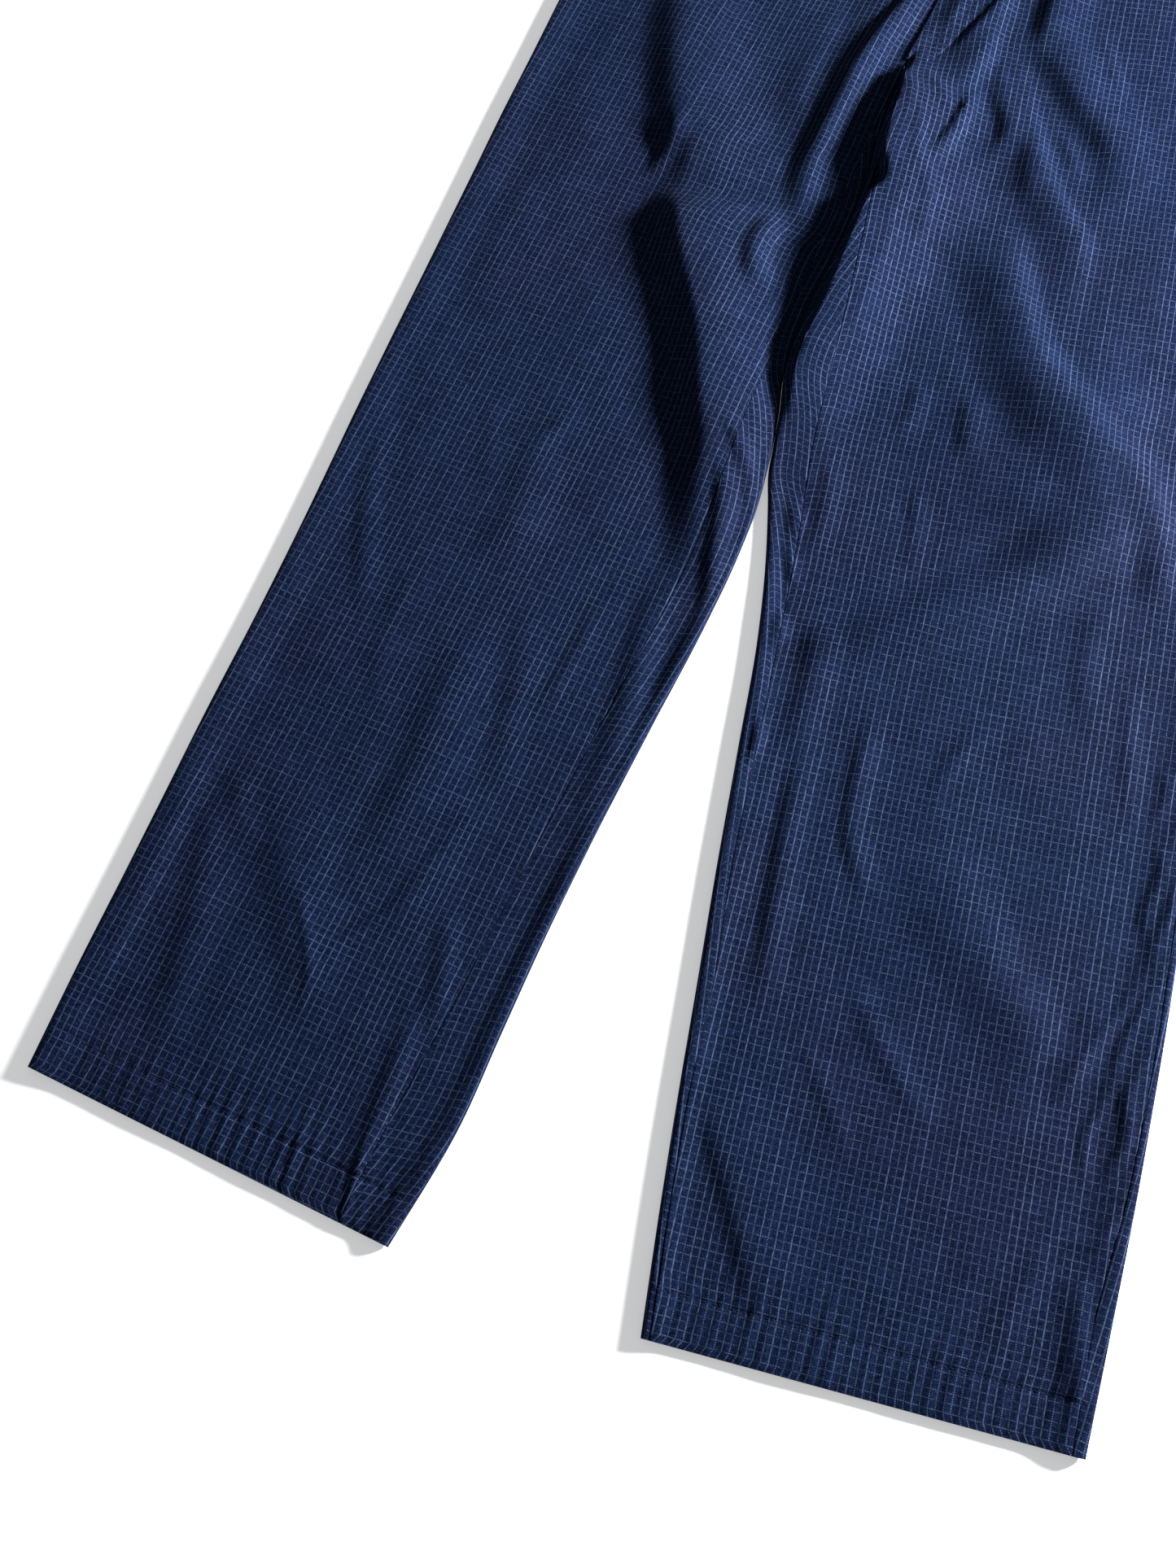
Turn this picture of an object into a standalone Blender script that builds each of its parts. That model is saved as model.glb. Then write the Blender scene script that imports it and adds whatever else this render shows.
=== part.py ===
"""Work pants, laid flat with the front up.

Each leg is a flattened tube. The back panel lies on the ground, turns up round both edges and
ends at the seams. The front panel lies on it between the inseam and the outseam. Above the
crotch the two fronts meet at the centre front and the two backs at the centre back.
Right and left are the wearer's: the right leg lies on the side of negative X.
All the tables are in millimetres from the crotch, with +Y up to the waist.
"""

import math

import bmesh
import bpy
import numpy as np

MM = 0.001

# Cloth and seams
CLOTH = 1.2
BAND_CLOTH = 2.2
SEAM_GAP = 0.3
LIE_GAP = 0.5
CORNER_GAP = 1.1
CORNER_REACH = 4.0
RIM_GAP = 0.3

# Heights of the upper layer's middle, and the turn of the cloth at the edges
FLAT_HEIGHT = 2.4
EDGE_RADIUS = 2.2
EDGE_HEIGHT = CLOTH / 2 + 2 * EDGE_RADIUS
EDGE_SOFT = 24.0
CROTCH_PINCH = 20.0
STRIP_FULL = 6.0

# Waist and hems
HEM_Y = -810.0
HEM_FADE_Y = -480.0
WAIST_Y = 248.0
WAIST_FADE_Y = 110.0
WAIST_HALF = 224.0
FRONT_DIP = 15.0
BACK_LIFT = 12.0
BAND_HEIGHT = 40.0
BAND_TOP = 3.8
BAND_STEP = 0.2
OVERLAP_RISE = 2.7
OVERLAP_END = 3.0
OVERLAP_FLAT = 2.0
OVERLAP_RAMP = 20.0
UNDERLAP_LENGTH = 32.0

# Fly and button
FLY_EDGE = 3.0
BUTTON_RADIUS = 9.0
BUTTON_X = 14.0
BUTTON_STEPS = 20

# From the crotch to the middle of the whole outline
MIDDLE_X = 6.25
MIDDLE_Y = -259.2

RIGHT = -1
LEFT = 1
SIDE_NAMES = {RIGHT: "right", LEFT: "left"}

OUTLINE_COLUMNS = (
    "y", "right_outer", "right_inseam", "right_inner",
    "left_inner", "left_inseam", "left_outseam", "left_outer",
)
OUTLINE_ROWS = (
    (-810, -279.0, -90.0, -61.0, 74.0, 78.5, 284.5, 291.5),
    (-740, -276.5, -81.0, -46.5, 63.5, 68.5, 282.5, 291.5),
    (-690, -274.0, -73.0, -42.0, 56.5, 62.0, 285.5, 291.3),
    (-633, -271.5, -65.0, -36.5, 49.0, 57.5, 285.8, 290.2),
    (-570, -268.8, -56.0, -28.5, 40.5, 48.5, 283.8, 288.2),
    (-500, -264.6, -45.5, -18.0, 32.0, 42.0, 280.0, 284.5),
    (-430, -261.5, -34.0, -7.3, 23.5, 35.5, 276.6, 281.0),
    (-385, -260.2, -28.5, -2.2, 15.2, 31.0, 274.6, 279.0),
    (-342, -259.0, -26.5, -0.5, 6.5, 26.0, 272.6, 277.0),
    (-308, -257.6, -25.5, -3.2, 0.5, 21.0, 270.8, 275.2),
    (-281, -256.6, -24.5, -5.6, -4.8, 18.5, 269.4, 273.8),
    (-250, -255.2, -22.5, -10.6, -10.1, 17.0, 267.9, 272.3),
    (-200, -253.2, -19.5, -9.0, -8.7, 14.0, 265.3, 269.7),
    (-150, -251.2, -15.0, -3.3, -3.0, 10.5, 262.8, 267.2),
    (-100, -249.4, -10.0, 0.5, 0.8, 7.0, 260.6, 265.0),
    (-50, -246.7, -6.5, -1.3, -1.0, 4.5, 258.3, 262.7),
    (0, -244.4, -0.9, -0.15, 0.15, 0.9, 255.4, 259.8),
    (100, -239.0, 0.0, 0.0, 0.0, 0.0, 249.4, 253.8),
    (180, -230.5, 0.0, 0.0, 0.0, 0.0, 240.6, 245.0),
    (248, -221.5, 0.0, 0.0, 0.0, 0.0, 231.1, 235.5),
    (300, -216.5, 0.0, 0.0, 0.0, 0.0, 225.6, 230.0),
)

# The centre front seam, how far the cloth beside the inner edge takes to rise, and its height
CENTRE_COLUMNS = ("y", "front", "height", "right_rise", "left_rise")
CENTRE_ROWS = (
    (-810, 0.0, 5.0, 14.0, 14.0),
    (-430, 0.0, 5.0, 12.0, 12.0),
    (-308, 0.0, 5.0, 14.0, 10.0),
    (-250, 0.0, 5.0, 20.0, 9.0),
    (-200, 0.0, 5.1, 24.0, 9.0),
    (-100, 0.0, 5.4, 27.0, 9.0),
    (-40, 0.0, 5.8, 26.0, 9.0),
    (0, 0.0, 6.4, 22.0, 12.0),
    (40, 6.0, 7.6, 20.0, 20.0),
    (80, 11.0, 7.6, 22.0, 26.0),
    (150, 9.5, 5.6, 28.0, 30.0),
    (248, 7.0, 3.6, 30.0, 30.0),
    (300, 6.5, 3.6, 30.0, 30.0),
)

# The outer edge of the fly, as a distance from the centre front seam
FLY_COLUMNS = ("y", "reach")
FLY_ROWS = (
    (14, 12.0),
    (25, 17.0),
    (39, 21.0),
    (53, 24.5),
    (68, 30.0),
    (88, 36.0),
    (125, 39.0),
    (248, 39.0),
)

# Each hem is a straight line through a point, with a slope
HEM_COLUMNS = ("x", "y", "slope")
HEM_ROWS = {
    RIGHT: (-170.0, -802.0, -0.128),
    LEFT: (183.0, -811.5, 0.060),
}

# The strip of the back panel between the inseam and the ground, as shares of its flat stretch
# on top and of its turn
STRIP_COLUMNS = ("on_flat", "on_turn")
STRIP_ROWS = (
    (0.0, 0.0),
    (0.35, 0.0),
    (0.7, 0.0),
    (1.0, 0.0),
    (1.0, 0.22),
    (1.0, 0.45),
    (1.0, 0.7),
)

# Columns of the right front, as shares from its outer edge to the crest of the thigh fold, and
# from there to its inner edge. Below the fold they spread out again.
WEST_SHARES = (0.0, 0.24, 0.44, 0.62, 0.76, 0.87, 0.94, 1.0)
EAST_SHARES = (0.08, 0.16, 0.25, 0.35, 0.46, 0.57, 0.66, 0.74, 0.80, 0.86, 0.92, 0.97, 1.0)
MOST_CREST_SHARE = 0.8
SPREAD_Y = -430.0
SPREAD_LENGTH = 220.0
SPREAD_SHARE = 0.3

# The left front's columns are even, but crowd towards its inner edge
LEFT_COLUMNS = 22
LEFT_CROWDING = 0.45
LEFT_LAST_SHARE = 0.99

# The outer turn of the cloth, as shares of a half circle from the ground, on either side of the
# right outseam and on the left back; and the columns of the backs on the ground
FRONT_TURN = (0.5, 0.57, 0.77)
BACK_TURN = {RIGHT: (0.22, 0.43, 0.5), LEFT: (0.25, 0.5, 0.75, 1.0)}
GROUND_SHARES = (0.0, 0.12, 0.35, 0.6, 0.85, 1.0)

# Half a section of the button, from its middle out over the rim and under it: a share of its
# radius, and a height
BUTTON_COLUMNS = ("share", "height")
BUTTON_ROWS = (
    (0.0, 1.9),
    (0.55, 1.9),
    (0.66, 2.5),
    (0.78, 3.4),
    (0.92, 3.2),
    (1.0, 2.2),
    (0.95, 0.7),
    (0.75, 0.0),
    (0.0, 0.0),
)

# The largest folds. A crest runs through its points from its upper end; it is highest at peak,
# a share of its length, and falls off over its west and east widths, given at both ends.
FOLD_COLUMNS = ("side", "height", "peak", "west", "east", "crest")
FOLD_ROWS = (
    (RIGHT, 21.0, 0.45, (24.0, 30.0), (100.0, 16.0),
     ((-165, 75), (-156, 5), (-140, -55), (-118, -98), (-107, -150), (-84, -212),
      (-60, -254), (-38, -306), (-24, -370), (-13, -435))),
    (RIGHT, 14.0, 0.50, (15.0, 13.0), (30.0, 22.0),
     ((-2, 130), (-6, 80), (-22, 42), (-31, 8), (-36, -32), (-39, -72), (-38, -112),
      (-34, -150), (-30, -200))),
    (LEFT, 13.0, 0.45, (12.0, 12.0), (78.0, 42.0),
     ((14, 30), (12, -20), (14, -60), (18, -100), (16, -150), (10, -205), (6, -255),
      (15, -305), (26, -370))),
    (LEFT, 9.0, 0.40, (17.0, 24.0), (60.0, 40.0),
     ((94, 150), (89, 75), (93, 47), (112, 25), (137, 0), (155, -26), (172, -62), (186, -110))),
    (LEFT, 7.0, 0.45, (26.0, 20.0), (19.0, 22.0),
     ((80, 50), (90, 2), (104, -44), (124, -86), (143, -130), (162, -178))),
    (LEFT, 8.0, 0.35, (30.0, 22.0), (34.0, 28.0),
     ((90, -105), (111, -150), (130, -186), (154, -217), (188, -245), (228, -277), (255, -310))),
    (LEFT, 6.0, 0.45, (26.0, 18.0), (32.0, 24.0),
     ((205, -270), (174, -300), (148, -336), (118, -369), (80, -401), (50, -436))),
    (LEFT, 4.5, 0.40, (18.0, 16.0), (30.0, 26.0),
     ((70, -660), (88, -712), (112, -758), (132, -792))),
    (LEFT, 4.0, 0.50, (26.0, 22.0), (30.0, 24.0),
     ((140, -520), (172, -566), (210, -604), (246, -632))),
    (RIGHT, 4.0, 0.50, (20.0, 20.0), (34.0, 28.0),
     ((-222, -572), (-196, -630), (-172, -686), (-152, -740))),
    (RIGHT, 4.0, 0.50, (24.0, 20.0), (36.0, 30.0),
     ((-150, -455), (-146, -520), (-150, -580), (-162, -640))),
)


def table(columns, rows):
    """A dictionary with an array for each named column."""
    return {name: np.array([row[i] for row in rows], float) for i, name in enumerate(columns)}


OUTLINE = table(OUTLINE_COLUMNS, OUTLINE_ROWS)
CENTRE = table(CENTRE_COLUMNS, CENTRE_ROWS)
FLY = table(FLY_COLUMNS, FLY_ROWS)


def along(rows, name, y):
    """The column's value at y, on a smooth curve through the rows."""
    knots = rows["y"]
    values = rows[name]
    slopes = np.gradient(values, knots)
    y = np.clip(np.asarray(y, float), knots[0], knots[-1])
    i = np.clip(np.searchsorted(knots, y) - 1, 0, len(knots) - 2)
    step = knots[i + 1] - knots[i]
    t = (y - knots[i]) / step
    start = (1 + 2 * t) * (1 - t) ** 2 * values[i] + t * (1 - t) ** 2 * step * slopes[i]
    end = t * t * (3 - 2 * t) * values[i + 1] + t * t * (t - 1) * step * slopes[i + 1]
    return start + end


def soft_step(t):
    t = np.clip(t, 0.0, 1.0)
    return t * t * (3 - 2 * t)


def smooth_line(points, per_span=4):
    """Points on a smooth curve through the given ones."""
    points = np.array(points, float)
    ends = np.vstack([2 * points[0] - points[1], points, 2 * points[-1] - points[-2]])
    spans = []
    for a, b, c, d in zip(ends, ends[1:], ends[2:], ends[3:]):
        t = np.arange(per_span)[:, None] / per_span
        spans.append(0.5 * (2 * b + (c - a) * t + (2 * a - 5 * b + 4 * c - d) * t**2
                            + (3 * b - a - 3 * c + d) * t**3))
    return np.vstack(spans + [points[-1:]])


def fold_height(x, y, height, peak, west, east, crest):
    """The height that one fold adds at each x and y."""
    line = smooth_line(crest)
    starts = line[:-1]
    runs = line[1:] - starts
    lengths = np.hypot(runs[:, 0], runs[:, 1])
    before = np.concatenate([[0.0], np.cumsum(lengths)])
    at = np.stack([x, y], axis=-1)[..., None, :] - starts
    t = np.clip((at * runs).sum(-1) / lengths**2, 0.0, 1.0)
    away = at - t[..., None] * runs
    distance = np.hypot(away[..., 0], away[..., 1])
    nearest = distance.argmin(-1)[..., None]
    share = np.take_along_axis((before[:-1] + t * lengths) / before[-1], nearest, -1)[..., 0]
    turned = away[..., 0] * -runs[:, 1] + away[..., 1] * runs[:, 0]
    is_east = np.take_along_axis(turned, nearest, -1)[..., 0] > 0
    distance = np.take_along_axis(distance, nearest, -1)[..., 0]
    width = np.where(is_east, east[0] + share * (east[1] - east[0]),
                     west[0] + share * (west[1] - west[0]))
    across = 0.5 * (1 + np.cos(math.pi * np.minimum(distance / width, 1.0)))
    ends = soft_step(share / peak) * soft_step((1 - share) / (1 - peak))
    return height * across * ends


def inward(side):
    return -side


def top_width(side, y):
    """Where the flat part of the upper layer starts and ends at y: x at both edges."""
    name = SIDE_NAMES[side]
    outer = along(OUTLINE, name + "_outer", y) + inward(side) * (CLOTH / 2 + EDGE_RADIUS)
    inner = along(OUTLINE, name + "_inner", y)
    turn = CLOTH / 2 + EDGE_RADIUS * soft_step(-y / CROTCH_PINCH)
    centre = along(CENTRE, "front", y)
    meet = centre - inward(side) * SEAM_GAP / 2
    return outer, np.where(y > 0, meet, inner - inward(side) * turn)


def top_height(side, x, y):
    """The height of the middle of the upper layer of cloth."""
    raised = np.zeros_like(x)
    for row in FOLD_ROWS:
        fold = dict(zip(FOLD_COLUMNS, row))
        if fold.pop("side") == side:
            raised += fold_height(x, y, **fold)
    calm = 1 - soft_step((y - WAIST_FADE_Y) / (WAIST_Y - WAIST_FADE_Y))
    base = FLAT_HEIGHT + (BAND_TOP - BAND_STEP - FLAT_HEIGHT) * (1 - calm)
    height = base + raised * calm
    outer, inner = top_width(side, y)
    from_outer = np.abs(x - outer)
    from_inner = np.abs(inner - x)
    height = EDGE_HEIGHT + (height - EDGE_HEIGHT) * soft_step(from_outer / EDGE_SOFT)
    rise = along(CENTRE, SIDE_NAMES[side] + "_rise", y)
    edge = along(CENTRE, "height", y)
    return edge + (height - edge) * soft_step(from_inner / rise)


def hem_line(side, x):
    """The y of the hem at x."""
    hem = dict(zip(HEM_COLUMNS, HEM_ROWS[side]))
    return hem["y"] + hem["slope"] * (x - hem["x"])


def row_y(side, x, y, layer):
    """The real y of a point in the row called y: rows tilt to the hem and bow to the waist."""
    low = 1 - soft_step((y - HEM_Y) / (HEM_FADE_Y - HEM_Y))
    high = soft_step((y - WAIST_FADE_Y) / (WAIST_Y - WAIST_FADE_Y))
    bow = np.clip(1 - ((x - MIDDLE_X) / WAIST_HALF) ** 2, 0.0, 1.0)
    shift = BACK_LIFT if layer == "lower" else -FRONT_DIP
    return y + low * (hem_line(side, x) - HEM_Y) + high * bow * shift


def placed(x, y, z):
    return np.stack([x - MIDDLE_X, y - MIDDLE_Y, z], axis=-1) * MM


def upper_points(side, x, y):
    """Points on the middle of the upper layer, where x and row y are plan positions."""
    real_y = row_y(side, x, y, "upper")
    return placed(x, real_y, top_height(side, x, y))


def turned_points(side, y, angle, edge):
    """Points on the turn of the cloth at the outer or inner edge. Angle 0 is the ground."""
    outer, inner = top_width(side, y)
    if edge == "outer":
        middle = outer
        radius = np.full_like(y, EDGE_RADIUS)
        top = np.full_like(y, EDGE_HEIGHT)
        out = -inward(side)
    else:
        middle = inner
        radius = EDGE_RADIUS * soft_step(-y / CROTCH_PINCH)
        top = along(CENTRE, "height", y)
        out = inward(side)
    half = (top - CLOTH / 2) / 2
    round_z = 1 - np.cos(angle)
    if edge == "inner":
        roundness = soft_step(-y / CROTCH_PINCH)
        round_z = roundness * round_z + (1 - roundness) * 2 * angle / math.pi
    x = middle + out * radius * np.sin(angle)
    return placed(x, row_y(side, x, y, "lower"), CLOTH / 2 + half * round_z)


def inseam_at(side, y):
    """The x of the inseam, which never lies past the turn of the cloth."""
    inseam = along(OUTLINE, SIDE_NAMES[side] + "_inseam", y)
    inner = top_width(side, y)[1]
    return inward(side) * np.minimum(inward(side) * inseam, inward(side) * inner)


def seam_room(side):
    """From the inseam to either piece. The left one lies on a crest, where walls lean together."""
    return SEAM_GAP / 2 + (RIM_GAP if side == LEFT else 0.0)


def inner_strip(side, y):
    """Columns of the back panel from the inseam over the edge and down to the ground."""
    inner = top_width(side, y)[1]
    inseam = inseam_at(side, y)
    flat = inward(side) * (inner - inseam)
    turn = math.pi * EDGE_RADIUS
    first = seam_room(side) + CORNER_GAP * (1 - soft_step(flat / CORNER_REACH))
    whole = flat + turn - first
    full = soft_step(flat / STRIP_FULL)
    columns = []
    for i, (on_flat, on_turn) in enumerate(STRIP_ROWS):
        spread = first + on_flat * (flat - first) + on_turn * turn
        even = first + whole * i / len(STRIP_ROWS)
        path = full * spread + (1 - full) * even
        angle = math.pi * (1 - np.clip((path - flat) / turn, 0.0, 1.0))
        x = inseam + inward(side) * np.minimum(path, flat)
        upper = upper_points(side, x, y)
        turned = turned_points(side, y, angle, "inner")
        columns.append(np.where((path < flat)[:, None], upper, turned))
    return columns


def lower_points(side, y, share):
    """Points on the middle of the lower layer, from the inner edge at 0 to the outer at 1."""
    outer, inner = top_width(side, y)
    back_seam = MIDDLE_X * y / WAIST_Y - inward(side) * SEAM_GAP / 2
    start = np.where(y > 0, back_seam, inner)
    x = start + share * (outer - start)
    return placed(x, row_y(side, x, y, "lower"), np.full_like(x, CLOTH / 2))


def section_rows():
    """The rows of the panels, close together where the folds are."""
    return np.concatenate([
        np.linspace(HEM_Y, -450, 11),
        np.linspace(-432, 0, 25),
        np.linspace(18, 126, 7),
        np.linspace(155, WAIST_Y - SEAM_GAP, 3),
    ])


def cloth_sheet(name, collection, grid, thickness, keep=None):
    """A wall of cloth on a grid of points, rows by columns. Keep says which cells are cloth."""
    rows, columns = grid.shape[:2]
    edit = bmesh.new()
    bmesh.ops.create_grid(edit, x_segments=columns - 1, y_segments=rows - 1, size=1.0)
    for vertex, point in zip(edit.verts, grid.reshape(-1, 3)):
        vertex.co = point
    if keep is not None:
        unused = [face for face, kept in zip(edit.faces, keep.reshape(-1)) if not kept]
        bmesh.ops.delete(edit, geom=unused, context="FACES")
    mesh = bpy.data.meshes.new(name)
    edit.to_mesh(mesh)
    edit.free()
    mesh.shade_smooth()
    obj = bpy.data.objects.new(name, mesh)
    collection.objects.link(obj)
    wall = obj.modifiers.new("Cloth wall", "SOLIDIFY")
    wall.thickness = thickness * MM
    wall.offset = 0.0
    wall.use_even_offset = True
    return obj


def crest_share(y, start, end):
    """How far across the right front the crest of the thigh fold lies at y."""
    crest = smooth_line(FOLD_ROWS[0][FOLD_COLUMNS.index("crest")])[::-1]
    x = np.interp(y, crest[:, 1], crest[:, 0])
    share = np.minimum((x - start) / (end - start), MOST_CREST_SHARE)
    return share - SPREAD_SHARE * soft_step((SPREAD_Y - y) / SPREAD_LENGTH)


def front_panel(side, collection):
    """From the outseam over the top to the inseam, and to the centre front above the crotch."""
    y = section_rows()
    outer, inner = top_width(side, y)
    name = SIDE_NAMES[side]
    end = np.where(y > 0, inner, inseam_at(side, y) - inward(side) * seam_room(side))
    columns = []
    if side == RIGHT:
        for turn in FRONT_TURN:
            columns.append(turned_points(side, y, np.full_like(y, turn * math.pi), "outer"))
        columns[0][:, 2] += SEAM_GAP / 2 * MM
        start = outer
        crest = crest_share(y, start, end)
        shares = [share * crest for share in WEST_SHARES]
        shares += [crest + share * (1 - crest) for share in EAST_SHARES]
    else:
        start = along(OUTLINE, "left_outseam", y) - SEAM_GAP / 2
        even = np.linspace(0, 1, LEFT_COLUMNS)[:-1]
        shares = even + LEFT_CROWDING * even * (1 - even)
        shares = np.append(shares, [LEFT_LAST_SHARE, 1.0])
    for share in shares:
        columns.append(upper_points(side, start + share * (end - start), y))
    grid = np.stack(columns, axis=1)
    if side == LEFT:
        grid = grid[:, ::-1]
    return cloth_sheet("front_" + name, collection, grid, CLOTH)


def back_panel(side, collection):
    """From the inseam round the inner edge, over the ground and round the outer edge."""
    y = section_rows()
    name = SIDE_NAMES[side]
    columns = inner_strip(side, y)
    extra = len(columns)
    for share in GROUND_SHARES:
        columns.append(lower_points(side, y, share))
    for turn in BACK_TURN[side]:
        columns.append(turned_points(side, y, np.full_like(y, turn * math.pi), "outer"))
    if side == RIGHT:
        columns[-1][:, 2] -= SEAM_GAP / 2 * MM
    else:
        outseam = along(OUTLINE, "left_outseam", y) + SEAM_GAP / 2
        columns.append(upper_points(side, outseam, y))
    grid = np.stack(columns, axis=1)
    keep = np.ones((grid.shape[0] - 1, grid.shape[1] - 1), bool)
    keep[y[:-1] >= 0, :extra] = False
    if side == LEFT:
        grid = grid[:, ::-1]
        keep = keep[:, ::-1]
    return cloth_sheet("back_" + name, collection, grid, CLOTH, keep)


def band_half(side, collection):
    """Half of the waistband, from its end at the front round the side to the centre back."""
    y = np.linspace(WAIST_Y, WAIST_Y + BAND_HEIGHT, 3)
    middle = BAND_CLOTH / 2
    outer = along(OUTLINE, SIDE_NAMES[side] + "_outer", y) + inward(side) * (middle + EDGE_RADIUS)
    centre = along(CENTRE, "front", y)
    end = centre - OVERLAP_END if side == LEFT else centre + UNDERLAP_LENGTH
    columns = []
    for share in np.concatenate([np.linspace(0, 0.3, 9), np.linspace(0.45, 1.0, 5)]):
        x = end + share * (outer - end)
        height = np.full_like(x, BAND_TOP)
        if side == LEFT:
            beside = centre + UNDERLAP_LENGTH + OVERLAP_FLAT
            height += OVERLAP_RISE * soft_step((beside + OVERLAP_RAMP - x) / OVERLAP_RAMP)
        columns.append(placed(x, row_y(side, x, y, "upper"), height))
    half = (BAND_TOP - middle) / 2
    for angle in (0.75, 0.5, 0.25):
        x = outer - inward(side) * EDGE_RADIUS * math.sin(angle * math.pi)
        z = np.full_like(x, middle + half * (1 - math.cos(angle * math.pi)))
        columns.append(placed(x, row_y(side, x, y, "lower"), z))
    back_seam = MIDDLE_X * y / WAIST_Y - inward(side) * SEAM_GAP / 2
    for share in np.linspace(0, 1, 6):
        x = outer + share * (back_seam - outer)
        columns.append(placed(x, row_y(side, x, y, "lower"), np.full_like(x, middle)))
    grid = np.stack(columns, axis=1)
    if side == RIGHT:
        grid = grid[:, ::-1]
    return cloth_sheet("waistband_" + SIDE_NAMES[side], collection, grid, BAND_CLOTH)


def fly_strip(collection):
    """The fly, which lies on the left front and just over the edge of the right one."""
    low = FLY["y"][0]
    y = np.concatenate([np.linspace(low, 96, 8), np.linspace(120, WAIST_Y - SEAM_GAP, 5)])
    centre = along(CENTRE, "front", y)
    reach = along(FLY, "reach", y)
    columns = []
    for share in np.linspace(0, 1, 7):
        x = centre - FLY_EDGE + share * (reach + FLY_EDGE)
        columns.append(lying_points(x, y, centre))
    grid = np.stack(columns, axis=1)
    return cloth_sheet("fly", collection, grid, CLOTH)


def lying_points(x, y, centre):
    """Points that lie on the fronts, moved out by the cloth and a small gap."""

    def height(at_x, at_y):
        on_left = top_height(LEFT, np.maximum(at_x, centre + SEAM_GAP / 2), at_y)
        on_right = top_height(RIGHT, np.minimum(at_x, centre - SEAM_GAP / 2), at_y)
        return np.where(at_x > centre, on_left, on_right)

    slope_x = height(x + 0.5, y) - height(x - 0.5, y)
    slope_y = height(x, y + 0.5) - height(x, y - 0.5)
    lift = (CLOTH + LIE_GAP) * np.sqrt(1 + slope_x**2 + slope_y**2)
    return placed(x, row_y(LEFT, x, y, "upper"), height(x, y) + lift)


def button(collection):
    """A turned button with a raised rim, on the overlap of the waistband."""
    points = [(share * BUTTON_RADIUS * MM, 0.0, z * MM) for share, z in BUTTON_ROWS]
    mesh = bpy.data.meshes.new("button")
    mesh.from_pydata(points, [(i, i + 1) for i in range(len(points) - 1)], [])
    obj = bpy.data.objects.new("button", mesh)
    collection.objects.link(obj)
    y = WAIST_Y + BAND_HEIGHT / 2
    x = float(along(CENTRE, "front", y)) + BUTTON_X
    real_y = float(row_y(LEFT, np.array(x), np.array(y), "upper"))
    top = BAND_TOP + OVERLAP_RISE + BAND_CLOTH / 2 + SEAM_GAP
    obj.location = placed(np.array(x), np.array(real_y), np.array(top))
    turn = obj.modifiers.new("Turned", "SCREW")
    turn.steps = BUTTON_STEPS
    turn.render_steps = BUTTON_STEPS
    turn.use_merge_vertices = True
    turn.merge_threshold = 0.00001
    turn.use_normal_calculate = True
    return obj


def material(name, colour, roughness, sheen=0.0):
    made = bpy.data.materials.new(name)
    made.use_nodes = True
    shader = made.node_tree.nodes["Principled BSDF"]
    shader.inputs["Base Color"].default_value = (*colour, 1.0)
    shader.inputs["Roughness"].default_value = roughness
    shader.inputs["Metallic"].default_value = 0.0
    shader.inputs["Sheen Weight"].default_value = sheen
    return made


def clear_scene():
    for obj in list(bpy.data.objects):
        bpy.data.objects.remove(obj, do_unlink=True)


def main():
    clear_scene()
    collection = bpy.data.collections.new("Work pants")
    bpy.context.scene.collection.children.link(collection)
    navy = (0.016, 0.027, 0.085)
    dark = (0.010, 0.012, 0.024)
    for side in (RIGHT, LEFT):
        for build in (front_panel, back_panel, band_half):
            obj = build(side, collection)
            obj.data.materials.append(material(obj.name + " cloth", navy, 0.8, 0.2))
    fly = fly_strip(collection)
    fly.data.materials.append(material("fly cloth", navy, 0.8, 0.2))
    fastener = button(collection)
    fastener.data.materials.append(material("button plastic", dark, 0.35))


main()
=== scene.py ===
"""Work pants in fine checked cloth, laid flat with the front up: the looks of every piece.

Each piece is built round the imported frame, at the place of the node that it replaces. Lengths in
the tables are in millimetres from the crotch, with +Y up to the waist. Right and left are the
wearer's: the right leg lies on the side of negative X.
"""

import math

import bmesh
import bpy
import numpy as np
from mathutils import Matrix, Vector, noise


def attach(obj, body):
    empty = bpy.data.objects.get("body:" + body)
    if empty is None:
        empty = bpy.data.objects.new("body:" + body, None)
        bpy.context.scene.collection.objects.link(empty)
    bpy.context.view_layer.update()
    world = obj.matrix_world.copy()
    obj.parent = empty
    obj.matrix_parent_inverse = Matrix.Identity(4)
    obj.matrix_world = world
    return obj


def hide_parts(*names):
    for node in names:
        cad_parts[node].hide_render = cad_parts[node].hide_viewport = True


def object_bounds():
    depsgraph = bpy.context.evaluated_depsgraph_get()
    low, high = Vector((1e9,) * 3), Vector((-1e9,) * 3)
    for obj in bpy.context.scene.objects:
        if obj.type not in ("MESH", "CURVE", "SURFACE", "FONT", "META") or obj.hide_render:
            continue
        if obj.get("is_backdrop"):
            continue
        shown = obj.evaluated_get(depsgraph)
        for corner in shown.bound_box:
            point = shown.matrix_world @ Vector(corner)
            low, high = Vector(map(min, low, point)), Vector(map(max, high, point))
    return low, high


bl_info = {
    "name": "Work pants",
    "version": (1, 0, 0),
    "blender": (4, 5, 0),
    "location": "View3D > Sidebar > Pants",
    "description": "Builds a pair of checked work pants that lie flat, piece by piece",
    "category": "Add Mesh",
}

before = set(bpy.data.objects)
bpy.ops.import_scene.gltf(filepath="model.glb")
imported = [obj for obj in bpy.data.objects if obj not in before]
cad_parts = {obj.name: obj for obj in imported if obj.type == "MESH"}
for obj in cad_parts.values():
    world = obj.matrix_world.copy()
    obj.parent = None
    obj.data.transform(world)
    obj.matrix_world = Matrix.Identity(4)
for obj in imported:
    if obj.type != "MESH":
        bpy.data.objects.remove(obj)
CAD_BOX = [list(corner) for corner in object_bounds()]

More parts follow.
